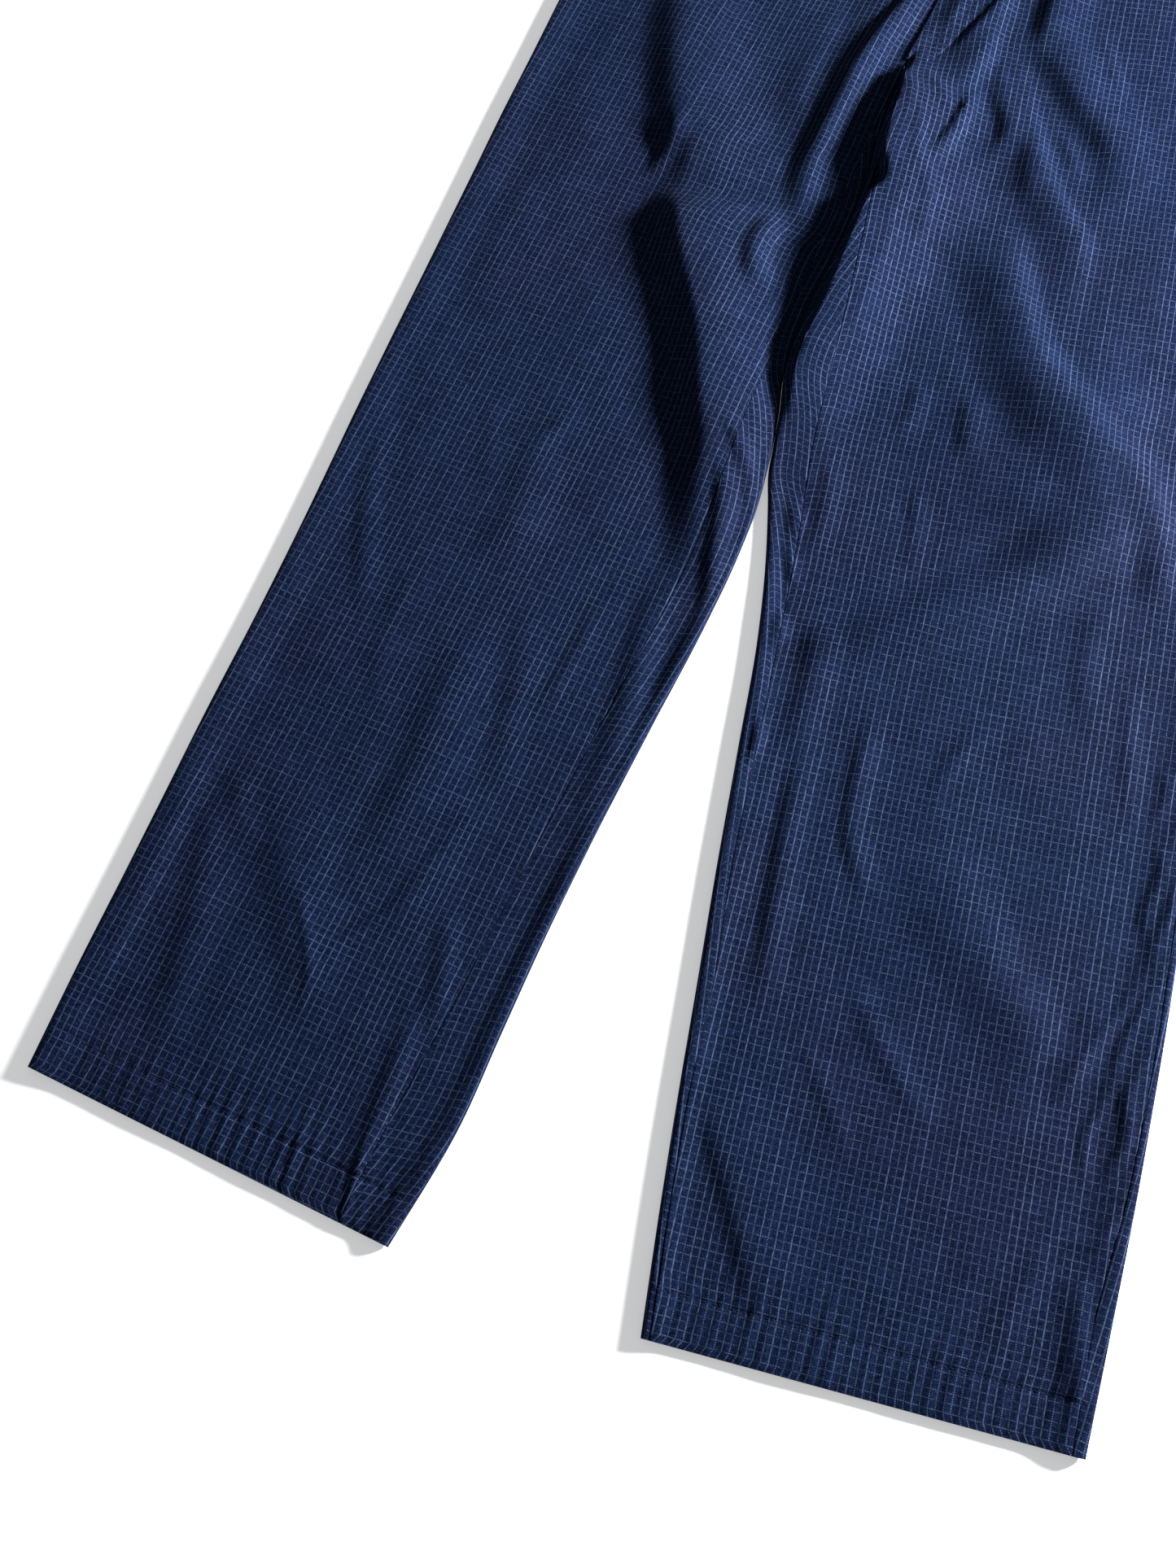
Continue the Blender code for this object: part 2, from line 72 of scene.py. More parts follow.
MM = 0.001
RIGHT = -1
LEFT = 1
SIDE_NAMES = {RIGHT: "right", LEFT: "left"}
UP = np.array([0.0, 0.0, 1.0])

# From the crotch to the middle of the whole outline
MIDDLE_X = 6.25
MIDDLE_Y = -259.2

# Heights of the outer face of the cloth, and its turn at the edges
GROUND = 0.05
FLAT_HEIGHT = 3.0
LEAST_HEIGHT = 2.0
LEAST_SOFT = 0.7
EDGE_RADIUS = 2.8
EDGE_HEIGHT = 2 * EDGE_RADIUS
EDGE_SOFT = 24.0
FINE_EDGE_SOFT = 5.0
CROTCH_PINCH = 20.0

# Dents of worn cloth, strongest by the crotch and weakest at the waist. A row holds a height, the
# height added by the crotch, the wavelength, the lean over the warp, the squeeze along it and a
# seed. A row for the waistband holds a height, a wavelength and a seed.
DENT_Y = -60.0
DENT_REACH = 170.0
DENT_ROWS = ((0.62, 0.5, 40.0, 0.25, 0.55, 3.0), (0.16, 0.16, 15.0, -0.2, 0.5, 9.0))
WAIST_FINE = 0.35
BAND_DENT_ROWS = ((0.16, 24.0, 51.0), (0.08, 7.0, 52.0))

# Seams: the gap between two pieces, and the rounding of each edge down into it
SEAM_GAP = 0.12
BACK_GAP = 0.02
SEAM_ROUND = 0.9
SEAM_DEPTH = 0.3
SEAM_SHARP = 2.2
CORNER_GAP = 0.7
CORNER_REACH = 4.0
SEAM_OFFSETS = (0.0, 0.12, 0.35, 0.7, 1.15, 1.7, 2.6)
PUCKER_LENGTH = 9.0
PUCKER_REACH = 5.0
PUCKER_SIZE = 0.24
PUCKER_STRAY = 5.0

# Rows of each panel's mesh, which crowd at the hem's stitches and the waist seam, and its columns
FRONT_STEP = 3.4
BACK_STEP = 6.0
PLAIN_Y = (-450.0, 130.0)
PLAIN_SHARE = 0.8
HEM_OFFSETS = (0.0, 0.5, 1.6)
HEM_CLEAR = 4.0
HEM_SPAN = 16.0
HEM_LEAST = 3
STITCH_OFFSETS = (-1.7, -1.0, -0.4, 0.0, 0.4, 1.0, 1.7)
STITCH_CLEAR = 2.6
ROWS_INSET = 3.0
WAIST_OFFSETS = (2.0, 1.2, 0.7, 0.3, 0.0)
FRONT_TURNS = (0.5, 0.56, 0.64, 0.73, 0.82, 0.91)
BACK_TURNS = {RIGHT: np.linspace(0.1, 0.5, 5), LEFT: np.linspace(0.1, 1.0, 10)}
WEST_COLUMNS = 36
EAST_COLUMNS = 56
CROWDING = 1.15
LEFT_COLUMNS = 88
GROUND_COLUMNS = 30
OUTSEAM_OFFSETS = (2.2, 1.2, 0.7, 0.3, 0.0)
OUTSEAM_CLEAR = 0.05

# The strip of the back panel beside the inseam: columns on top and round the turn, the width at
# which they have their full spread, and the step between them where the strip is too narrow
STRIP_COLUMNS = 12
STRIP_TURN_COLUMNS = 11
STRIP_FULL = 6.0
STRIP_CLEAR = 0.6
STRIP_STEP = 0.1
STRIP_LEAST = 0.2

# How far across the right front the crest of the thigh fold may lie, and how its columns spread
# again towards the hem
MOST_CREST_SHARE = 0.8
SPREAD_SHARE = 0.3
SPREAD_Y = -430.0
SPREAD_LENGTH = 220.0

# Where the cloth is too steep for the plan to give its length
STEEP_RUN = 0.3
MOST_SLOPE = 1.5
SMOOTH_ANGLE = math.radians(50)

# Waist and hems
HEM_Y = -810.0
HEM_FADE_Y = -480.0
WAIST_Y = 248.0
WAIST_FADE_Y = 110.0
WAIST_HALF = 224.0
WAIST_HEIGHT = 4.2
FRONT_DIP = 15.0
BACK_LIFT = 12.0
HEM_STREAK = 8.2
HEM_STREAK_SIZE = 1.4
HEM_STREAK_SHARES = (0.0, 1.4)
HEM_STREAK_MEAN = 0.75
HEM_STREAK_SPREAD = 0.8
HEM_STREAK_SHARP = 1.4
HEM_STREAK_REACH = 20.0
HEM_STREAK_RISE = 3.0
HEM_STREAK_LEAN = 0.06
HEM_STREAK_STRAY = 0.45
HEM_GROOVE_DEPTH = 0.42
HEM_GROOVE_WIDTH = 1.3
HEM_STEP = 3.0

# Waistband
BAND_HEIGHT = 40.0
BAND_TOP = 4.9
BAND_CLOTH = 1.4
BAND_ROUND = 0.8
OVERLAP_RISE = 2.7
OVERLAP_END = 3.0
OVERLAP_FLAT = 2.0
OVERLAP_RAMP = 20.0
UNDERLAP_LENGTH = 32.0
BAND_EDGE_OFFSETS = (0.0, 0.1, 0.3, 0.55, 0.8, 1.4)
BAND_ROWS = 13
BAND_TOP_COLUMNS = 80
BAND_TURN_COLUMNS = 12
BAND_GROUND_COLUMNS = 40
BAND_STITCH_INSET = 2.2
BAND_STITCH_UNDER = 2.0

# Fly, button and buttonhole
FLY_EDGE = 3.0
FLY_LIFT = 0.9
FLY_EDGE_OFFSETS = (0.0, 0.3, 0.8, 1.5)
FLY_EDGE_SOFT = 1.6
FLY_LEAST = 0.25
FLY_ROWS_BETWEEN = 92
FLY_COLUMNS_BETWEEN = 17
FLY_STITCH_INSETS = (2.4, 8.4)
FLY_STITCH_TURN = 0.7
FLY_SEAM_INSET = 1.6
FLY_SEAM_START = 4.0
BUTTON_X = 14.0
BUTTON_LIFT = 0.35
BUTTON_RADIUS = 9.0
BUTTON_HEIGHT = 3.2
BUTTON_SIDES = 64
BUTTON_BEVEL = 0.28
BUTTON_BEVEL_ANGLE = math.radians(28)
BUTTON_SMOOTH_ANGLE = math.radians(35)
HOLE_SPREAD = 1.75
HOLE_RADIUS = 0.85
HOLE_SIDES = 24
BUTTONHOLE_LENGTH = 22.0
BUTTONHOLE_WIDTH = 3.4
BUTTONHOLE_SHIFT = 2.0
BUTTONHOLE_STITCHES = 90

# The turning of the button's face and back: how far each step lies inside the last one, as a
# share of the radius, and how far it sinks, as a share of the height
BUTTON_FACE = ((0.24, 0.0), (0.10, 0.42), (0.16, 0.05), (0.2, 0.0))
BUTTON_BACK = ((0.2, 0.0),)

# A face looks some way if its normal has this share of it
FACING = 0.9

# One stitch: its first stretch, and the steps outwards from each end of it, as a length and the
# size left of the section. Its corners are kept to so many decimal places.
STITCH_SIDES = 6
STITCH_DECIMALS = 6
STITCH_MIDDLE = 0.36
STITCH_ENDS = ((-1, ((0.14, 0.39),)), (1, ((0.36, 1.0), (0.14, 0.39))))

# Sewing: the share of each step that its stitch fills, and how the stitches lie on the cloth
STITCH_FILL = 0.78
STITCH_LIFT = 0.1
STITCH_RISE = 0.25
LINE_CLEAR = 1.0
LINE_POINTS = 400
PLAIN_LINE_POINTS = 300
END_LINE_POINTS = 60
HEM_BACK_INSET = 3.0
HOLE_THREAD = 0.42
HOLE_STITCH_START = 0.2
HOLE_STITCH_FILL = 0.98
BAR_THREAD = 0.36
BAR_REACH = 1.25
BAR_FILL = 0.96
BAR_STRANDS = (-0.28, 0.0, 0.28)
BAR_LEVEL = 0.56

# Way of the warp on each panel, in degrees from +Y towards +X, and the x that its map counts from
GRAIN = {
    "front_right": (6.0, -200.0),
    "front_left": (-3.3, 170.0),
    "back_right": (5.0, -140.0),
    "back_left": (-5.0, 150.0),
}

# Cut of each sheet as far as it shows, all round a tube: width, length and area in metres
CUTS = {
    "front_right": (0.300, 1.075, 0.285),
    "front_left": (0.290, 1.075, 0.275),
    "back_right": (0.330, 1.095, 0.315),
    "back_left": (0.335, 1.095, 0.320),
    "waistband_right": (0.490, 0.040, None),
    "waistband_left": (0.460, 0.040, None),
    "fly": (0.042, 0.236, 0.0090),
}

OUTLINE_COLUMNS = (
    "y", "right_outer", "right_inseam", "right_inner",
    "left_inner", "left_inseam", "left_outseam", "left_outer",
)
OUTLINE_ROWS = (
    (-810, -279.0, -90.0, -61.0, 74.0, 78.5, 284.5, 291.5),
    (-740, -276.5, -81.0, -46.5, 63.5, 68.5, 282.5, 291.5),
    (-690, -274.0, -73.0, -42.0, 56.5, 62.0, 285.5, 291.3),
    (-633, -271.5, -65.0, -36.5, 49.0, 57.5, 285.8, 290.2),
    (-570, -268.8, -56.0, -28.5, 40.5, 48.5, 283.8, 288.2),
    (-500, -264.6, -45.5, -18.0, 32.0, 42.0, 280.0, 284.5),
    (-430, -261.5, -34.0, -7.3, 23.5, 35.5, 276.6, 281.0),
    (-385, -260.2, -28.5, -2.2, 15.2, 31.0, 274.6, 279.0),
    (-342, -259.0, -26.5, -0.5, 4.8, 26.0, 272.6, 277.0),
    (-322, -258.2, -25.9, -1.5, -0.6, 23.0, 271.5, 275.9),
    (-304, -257.5, -25.4, -2.9, -2.78, 20.6, 270.6, 275.0),
    (-281, -256.6, -24.5, -5.6, -5.5, 18.5, 269.4, 273.8),
    (-250, -255.2, -22.5, -10.6, -10.5, 17.0, 267.9, 272.3),
    (-200, -253.2, -19.5, -9.0, -8.88, 14.0, 265.3, 269.7),
    (-150, -251.2, -15.0, -3.2, -3.08, 10.5, 262.8, 267.2),
    (-100, -249.4, -10.0, 0.55, 0.67, 7.0, 260.6, 265.0),
    (-50, -246.7, -6.5, -1.2, -1.08, 4.5, 258.3, 262.7),
    (0, -244.4, -0.9, -0.06, 0.06, 0.9, 255.4, 259.8),
    (100, -239.0, 0.0, 0.0, 0.0, 0.0, 249.4, 253.8),
    (180, -230.5, 0.0, 0.0, 0.0, 0.0, 240.6, 245.0),
    (248, -221.5, 0.0, 0.0, 0.0, 0.0, 231.1, 235.5),
    (300, -216.5, 0.0, 0.0, 0.0, 0.0, 225.6, 230.0),
)

# The centre front seam, the height of each leg's inner edge, and how far the cloth beside that
# edge takes to rise
CENTRE_COLUMNS = ("y", "front", "right_height", "left_height", "right_rise", "left_rise")
CENTRE_ROWS = (
    (-810, 0.0, 5.6, 5.6, 14.0, 14.0),
    (-430, 0.0, 5.6, 5.6, 10.0, 12.0),
    (-308, 0.0, 5.6, 5.4, 12.0, 6.0),
    (-265, 0.0, 5.2, 8.5, 14.0, 3.0),
    (-200, 0.0, 3.8, 11.0, 20.0, 4.0),
    (-100, 0.0, 3.6, 12.0, 22.0, 3.0),
    (-40, 0.0, 4.4, 10.5, 20.0, 3.0),
    (0, 0.0, 5.2, 5.2, 18.0, 4.0),
    (40, 6.0, 4.4, 4.4, 16.0, 9.0),
    (80, 11.0, 4.4, 4.4, 18.0, 14.0),
    (150, 9.5, 5.2, 5.2, 28.0, 30.0),
    (248, 7.0, 4.2, 4.2, 30.0, 30.0),
    (300, 6.5, 4.2, 4.2, 30.0, 30.0),
)

# The outer edge of the fly, as a distance from the centre front seam
FLY_COLUMNS = ("y", "reach")
FLY_ROWS = (
    (14, 12.0),
    (25, 17.0),
    (39, 21.0),
    (53, 24.5),
    (68, 30.0),
    (88, 36.0),
    (125, 39.0),
    (248, 39.0),
)

# Each hem is a straight line through a point, with a slope
HEM_COLUMNS = ("x", "y", "slope")
HEM_ROWS = {
    RIGHT: (-170.0, -802.0, -0.128),
    LEFT: (183.0, -811.5, 0.060),
}

# Folds. A crest or furrow runs through its points from its upper end. It falls off over its west
# and east widths, each given once, or for both ends. Its height is greatest halfway down, or at
# the share of its length that ends the row.
FOLD_SWELL = 1.5
FOLD_COLUMNS = ("side", "height", "west", "east", "crest", "peak")
FOLD_ROWS = (
    (RIGHT, 13.0, (28.0, 26.0), (92.0, 26.0),
     ((-114, -122), (-108, -150), (-95, -182), (-80, -212), (-65, -245), (-54, -278), (-40, -315),
      (-35, -345), (-26, -385), (-18, -420), (-12, -455)), 0.16),
    (RIGHT, 8.2, (36.0, 25.0), (50.0, 60.0),
     ((-160, 110), (-158, 60), (-151, 0), (-145, -25), (-137, -50), (-128, -75), (-116, -95),
      (-110, -115), (-110, -135), (-112, -150)), 0.66),
    (RIGHT, 5.2, (11.0, 18.0), (24.0, 12.0),
     ((4, 130), (-5, 80), (-19, 38), (-28, 2), (-32, -34), (-36, -66), (-38, -98), (-33, -128),
      (-24, -158)), 0.58),
    (RIGHT, 3.4, (44.0, 36.0), (22.0, 16.0),
     ((4, 130), (-5, 80), (-19, 38), (-28, 2), (-32, -34), (-36, -66), (-38, -98))),
    (LEFT, 15.5, (9.0, 12.0), (82.0, 46.0),
     ((9, 40), (5, 20), (1, 0), (0, -30), (2, -55), (8, -76), (13, -90), (13, -100), (7, -112),
      (4, -140), (2, -180), (-3, -225), (-6, -262), (2, -300), (11, -345)), 0.27),
    (LEFT, 2.0, 8.0, (50.0, 40.0), ((0, -200), (-4, -230), (-5, -264), (1, -300))),
    (LEFT, 4.9, (16.0, 14.0), 30.0, ((88, 190), (87, 110), (86, 70), (86, 44)), 0.72),
    (LEFT, 4.7, (19.0, 22.0), (46.0, 34.0),
     ((78, 66), (90, 48), (104, 34), (118, 14), (132, -2), (146, -18), (155, -38), (156, -62),
      (152, -100)), 0.32),
    (LEFT, 4.0, (20.0, 40.0), 13.0,
     ((68, 40), (82, 4), (93, -22), (104, -46), (115, -68), (129, -88), (142, -104), (146, -145),
      (142, -178)), 0.4),
    (LEFT, 5.6, (38.0, 50.0), (18.0, 28.0),
     ((93, -92), (103, -128), (110, -150), (120, -174), (134, -199), (154, -224), (179, -247),
      (206, -265), (227, -284), (241, -322)), 0.32),
    (LEFT, 6.4, (42.0, 18.0), (34.0, 26.0),
     ((238, -264), (212, -294), (190, -322), (154, -360), (112, -391), (72, -420), (52, -454))),
    (LEFT, 7.5, (125.0, 105.0), (70.0, 60.0), ((165, -170), (172, -250), (180, -350))),
    (LEFT, 5.4, (44.0, 32.0), (13.0, 12.0),
     ((53, 140), (51, 80), (48, 36), (44, 0), (44, -30)), 0.45),
    (LEFT, 2.3, (12.0, 13.0), (42.0, 36.0), ((66, -672), (84, -708), (106, -744), (134, -796))),
    (LEFT, 3.0, (40.0, 30.0), (30.0, 24.0), ((150, -520), (180, -566), (214, -604), (250, -640))),
    (LEFT, 2.4, (16.0, 14.0), (20.0, 18.0), ((52, -395), (60, -440), (62, -500))),
    (RIGHT, 2.0, (34.0, 22.0), (34.0, 28.0),
     ((-226, -576), (-196, -624), (-170, -670), (-153, -706), (-148, -742))),
    (RIGHT, 2.4, (26.0, 20.0), (36.0, 30.0),
     ((-150, -455), (-136, -520), (-138, -580), (-150, -640))),
    (RIGHT, 2.6, (18.0, 14.0), (14.0, 12.0), ((-36, -380), (-38, -440), (-34, -520), (-40, -600))),
)

# Small creases, ridges and furrows that only the cloth's surface shows
CREASE_ROWS = (
    (RIGHT, 4.6, 13.0, 14.0, ((-39, -132), (-48, -144), (-53, -162), (-49, -182), (-39, -198))),
    (RIGHT, 3.0, (9.0, 8.0), (14.0, 10.0), ((-136, -66), (-133, -92), (-134, -112), (-140, -130))),
    (RIGHT, 1.6, (22.0, 20.0), (14.0, 12.0), ((-52, 62), (-60, 10), (-62, -30), (-50, -66))),
    (RIGHT, 1.2, 8.0, 10.0, ((-126, -302), (-136, -328), (-150, -354))),
    (RIGHT, 1.0, 4.0, 6.0, ((-182, -648), (-162, -680), (-152, -702), (-150, -728))),
    (RIGHT, 0.9, 5.0, 6.0, ((-106, -630), (-124, -650), (-140, -672), (-150, -695))),
    (RIGHT, -1.6, 5.0, 5.0, ((-12, 84), (-22, 54), (-31, 24), (-36, -4)), 0.4),
    (RIGHT, 2.2, 6.0, (8.0, 9.0), ((-242, -330), (-232, -395), (-218, -442), (-200, -492))),
    (RIGHT, 1.6, (20.0, 18.0), (24.0, 20.0), ((-150, -330), (-136, -380), (-150, -440))),
    (RIGHT, 1.4, (14.0, 12.0), (16.0, 14.0), ((-238, -595), (-222, -630), (-214, -655))),
    (RIGHT, 1.6, (14.0, 16.0), 20.0,
     ((-238, -590), (-236, -640), (-226, -690), (-218, -745), (-216, -790))),
    (RIGHT, 1.2, 6.0, 9.0, ((-257, -590), (-260, -700), (-264, -785))),
    (RIGHT, 1.4, 12.0, (10.0, 8.0), ((-92, -630), (-84, -665), (-76, -705))),
    (RIGHT, 2.0, 12.0, 8.0, ((-90, -676), (-89, -740), (-88, -808)), 0.6),
    (RIGHT, 1.0, (26.0, 24.0), (26.0, 24.0), ((-205, -120), (-214, -190), (-216, -260))),
    (RIGHT, 1.2, 12.0, (18.0, 16.0), ((-112, -440), (-100, -500), (-92, -575))),
    (RIGHT, 1.0, 9.0, (14.0, 12.0), ((-96, -580), (-112, -620), (-122, -660))),
    (LEFT, -1.6, 6.0, 7.0, ((47, 100), (40, 70), (30, 46), (18, 22))),
    (LEFT, 1.5, 8.0, 9.0, ((55, 110), (49, 80), (38, 54), (25, 26))),
    (LEFT, 2.8, (12.0, 11.0), 9.0, ((24, 120), (24, 80), (20, 55), (14, 34))),
    (LEFT, 4.0, (6.0, 5.5), (10.0, 9.0),
     ((52, 4), (49, -16), (46, -36), (41, -54), (35, -74)), 0.45),
    (LEFT, 1.2, 5.0, 6.0, ((12, 12), (20, -2), (32, -12), (40, -30))),
    (LEFT, 1.5, 5.0, 8.0, ((16, -16), (22, -40), (26, -66), (34, -92))),
    (LEFT, 1.0, 4.0, 5.0, ((8, -6), (12, -28), (13, -52))),
    (LEFT, 1.3, (5.0, 6.0), 8.0, ((30, -60), (38, -84), (43, -112), (44, -150))),
    (LEFT, 0.9, 5.0, 7.0, ((18, -96), (24, -130), (24, -175), (20, -220))),
    (LEFT, 1.0, 5.0, 6.0, ((62, 34), (66, 14), (72, -4))),
    (LEFT, 1.1, 6.0, 9.0, ((120, 78), (130, 52), (140, 30), (146, 12))),
    (LEFT, 1.0, 6.0, 8.0, ((112, -20), (122, -34), (128, -52))),
    (LEFT, 1.0, 7.0, 10.0, ((84, -300), (92, -330), (100, -372))),
    (LEFT, 1.2, 8.0, 12.0, ((30, -290), (38, -330), (40, -375))),
    (LEFT, 1.2, 8.0, 10.0, ((170, -440), (150, -470), (140, -510))),
    (LEFT, 1.0, 7.0, 9.0, ((232, -395), (240, -440), (250, -490))),
    (LEFT, 1.2, 9.0, 12.0, ((120, -600), (150, -640), (190, -680))),
    (RIGHT, 1.2, 8.0, 10.0, ((-22, -268), (-14, -292), (-10, -330))),
    (RIGHT, 3.4, (10.0, 9.0), (15.0, 11.0),
     ((-32, -318), (-22, -342), (-17, -370), (-13, -400), (-5, -438)), 0.4),
    (RIGHT, 3.0, (9.0, 8.0), (9.0, 8.0), ((-38, -292), (-22, -310), (-8, -334), (2, -362))),
    (RIGHT, 1.6, 6.0, 8.0, ((-12, -440), (-16, -480), (-24, -520))),
    (RIGHT, 0.9, 7.0, 9.0, ((-180, -300), (-172, -345), (-160, -390))),
    (RIGHT, 1.0, 8.0, 10.0, ((-70, -430), (-76, -480), (-88, -520))),
    (RIGHT, 0.9, 7.0, 9.0, ((-180, -430), (-186, -480), (-180, -540))),
    (LEFT, 2.6, 10.0, (16.0, 14.0), ((60, 18), (68, -2), (77, -22), (77, -40), (62, -56))),
    (LEFT, 1.3, 12.0, 14.0, ((98, -22), (100, -52), (103, -86))),
    (LEFT, 3.4, (22.0, 18.0), (15.0, 13.0), ((204, -255), (221, -280), (232, -305), (240, -355))),
    (LEFT, 2.0, 8.0, 13.0, ((98, -448), (100, -490), (104, -528), (114, -550), (128, -578))),
    (LEFT, 2.4, 10.0, (16.0, 14.0), ((66, -470), (71, -535), (78, -590), (88, -650))),
    (LEFT, 1.0, 8.0, (12.0, 10.0), ((50, -470), (53, -540), (58, -615))),
    (LEFT, 1.6, (14.0, 12.0), 12.0, ((258, -575), (250, -610), (238, -648))),
    (LEFT, 1.8, 5.0, 7.0, ((274, -556), (264, -588), (252, -616), (240, -650))),
    (LEFT, 1.6, 4.0, 5.0, ((283, -560), (274, -584), (268, -612), (272, -640))),
    (LEFT, 1.5, 4.0, 5.0, ((262, -612), (266, -634), (260, -660), (268, -690))),
    (LEFT, 1.6, 4.0, 5.0, ((282, -606), (276, -630), (280, -656), (270, -684))),
    (LEFT, 1.8, 5.0, 6.0, ((284, -690), (278, -706), (266, -712), (260, -722))),
    (LEFT, 1.4, 4.0, 6.0, ((262, -482), (270, -505), (266, -530), (272, -552))),
    (LEFT, 1.2, 4.0, 5.0, ((276, -500), (279, -525), (274, -548), (278, -570))),
    (LEFT, 1.2, 5.0, 6.0, ((258, -440), (264, -462), (258, -486))),
    (LEFT, 1.4, 12.0, 12.0, ((264, -705), (246, -742), (238, -785))),
    (LEFT, 1.8, (14.0, 13.0), (8.0, 7.0), ((270, -716), (276, -752), (284, -800))),
    (LEFT, 0.9, 7.0, 10.0, ((108, -645), (130, -672), (152, -705))),
    (LEFT, 2.2, 7.0, 6.0, ((30, -408), (35, -422), (34, -436))),
    (LEFT, 2.2, 5.0, 6.0, ((38, -476), (41, -492), (42, -510))),
    (LEFT, 1.8, 8.0, 8.0, ((16, -336), (24, -348), (24, -362))),
    (LEFT, 1.4, 5.0, 6.0, ((20, -362), (30, -380), (34, -398))),
    (LEFT, 1.4, (12.0, 10.0), (14.0, 12.0), ((208, -345), (206, -390), (216, -440))),
    (LEFT, 1.3, 10.0, 14.0, ((68, -230), (72, -250), (66, -280))),
    (LEFT, 1.6, 10.0, (16.0, 14.0), ((104, -232), (106, -256), (112, -284))),
)


def metres(label, about, default, low, high):
    """A size in metres that a user may change."""
    return bpy.props.FloatProperty(name=label, description=about, default=default, min=low,
                                   max=high, precision=5, unit="LENGTH")


def swatch(label, about, default):
    """A colour that a user may change."""
    return bpy.props.FloatVectorProperty(name=label, description=about, default=default,
                                         min=0.0, max=1.0, subtype="COLOR")


class PantsSizes(bpy.types.PropertyGroup):
    """Sizes of the cloth and the sewing that a user may change."""

    cloth: metres("Cloth", "Thickness of the cloth", 0.0005, 0.0002, 0.0012)
    hem_cloth: metres("Hem", "Thickness of the hem, where the cloth is turned up twice",
                      0.0012, 0.0005, 0.002)
    hem_depth: metres("Hem depth", "From the lower edge to the hem's stitches",
                      0.0245, 0.01, 0.05)
    warp_pitch: metres("Warp check", "Distance between the check's lines along the leg",
                       0.004, 0.002, 0.02)
    weft_pitch: metres("Weft check", "Distance between the check's lines across the leg",
                       0.0045, 0.002, 0.02)
    line_width: metres("Check line", "Width of the pale threads of the check",
                       0.0004, 0.0001, 0.002)
    stitch_step: metres("Stitch step", "From one stitch to the next", 0.003, 0.0015, 0.008)
    stitch_width: metres("Sewing thread", "Thickness of the sewing thread",
                         0.00042, 0.0002, 0.001)
    worn: bpy.props.FloatProperty(
        name="Unevenness", description="How uneven the cloth lies after washing and wear",
        default=1.0, min=0.0, max=2.0, subtype="FACTOR")


class PantsColours(bpy.types.PropertyGroup):
    """Colours of the cloth, the thread and the button."""

    navy: swatch("Navy", "Ground of the cloth", (0.0061, 0.0132, 0.045))
    deep_navy: swatch("Deep navy", "Darker patches of the ground", (0.0006, 0.0024, 0.0106))
    plum: swatch("Plum navy", "Ground where the dye has turned towards plum",
                 (0.0078, 0.0118, 0.0405))
    pale: swatch("Pale thread", "Threads that draw the check", (0.069, 0.101, 0.184))
    sewing: swatch("Sewing thread", "Thread of the seams and hems", (0.005, 0.01, 0.033))
    button: swatch("Button", "Plastic of the button", (0.01, 0.012, 0.024))
    floor: swatch("Floor", "Surface that the pants lie on", (0.94, 0.94, 0.945))


def table(columns, rows):
    """A dictionary with an array for each named column."""
    return {name: np.array([row[i] for row in rows], float) for i, name in enumerate(columns)}


OUTLINE = table(OUTLINE_COLUMNS, OUTLINE_ROWS)
CENTRE = table(CENTRE_COLUMNS, CENTRE_ROWS)
FLY = table(FLY_COLUMNS, FLY_ROWS)


def along(rows, name, y):
    """The column's value at y, on a smooth curve through the rows."""
    knots = rows["y"]
    values = rows[name]
    slopes = np.gradient(values, knots)
    y = np.clip(np.asarray(y, float), knots[0], knots[-1])
    i = np.clip(np.searchsorted(knots, y) - 1, 0, len(knots) - 2)
    step = knots[i + 1] - knots[i]
    t = (y - knots[i]) / step
    start = (1 + 2 * t) * (1 - t) ** 2 * values[i] + t * (1 - t) ** 2 * step * slopes[i]
    end = t * t * (3 - 2 * t) * values[i + 1] + t * t * (t - 1) * step * slopes[i + 1]
    return start + end


def soft_step(t):
    t = np.clip(t, 0.0, 1.0)
    return t * t * (3 - 2 * t)


def smooth_line(points, per_span=4):
    """Points on a smooth curve through the given ones."""
    points = np.array(points, float)
    ends = np.vstack([2 * points[0] - points[1], points, 2 * points[-1] - points[-2]])
    spans = []
    for a, b, c, d in zip(ends, ends[1:], ends[2:], ends[3:]):
        t = np.arange(per_span)[:, None] / per_span
        spans.append(0.5 * (2 * b + (c - a) * t + (2 * a - 5 * b + 4 * c - d) * t**2
                            + (3 * b - a - 3 * c + d) * t**3))
    return np.vstack(spans + [points[-1:]])


def fold_height(x, y, height, west, east, crest, peak=0.5):
    """The height that one fold adds at each x and y."""
    west, east = np.broadcast_to(west, 2), np.broadcast_to(east, 2)
    line = smooth_line(crest)
    starts = line[:-1]
    runs = line[1:] - starts
    lengths = np.hypot(runs[:, 0], runs[:, 1])
    before = np.concatenate([[0.0], np.cumsum(lengths)])
    at = np.stack([x, y], axis=-1)[..., None, :] - starts
    t = np.clip((at * runs).sum(-1) / lengths**2, 0.0, 1.0)
    away = at - t[..., None] * runs
    distance = np.hypot(away[..., 0], away[..., 1])
    nearest = distance.argmin(-1)[..., None]
    share = np.take_along_axis((before[:-1] + t * lengths) / before[-1], nearest, -1)[..., 0]
    turned = away[..., 0] * -runs[:, 1] + away[..., 1] * runs[:, 0]
    is_east = np.take_along_axis(turned, nearest, -1)[..., 0] > 0
    distance = np.take_along_axis(distance, nearest, -1)[..., 0]
    width = np.where(is_east, east[0] + share * (east[1] - east[0]),
                     west[0] + share * (west[1] - west[0]))
    across = 0.5 * (1 + np.cos(math.pi * np.minimum(distance / width, 1.0)))
    ends = soft_step(FOLD_SWELL * share / peak)
    ends *= soft_step(FOLD_SWELL * (1 - share) / (1 - peak))
    return height * across * ends


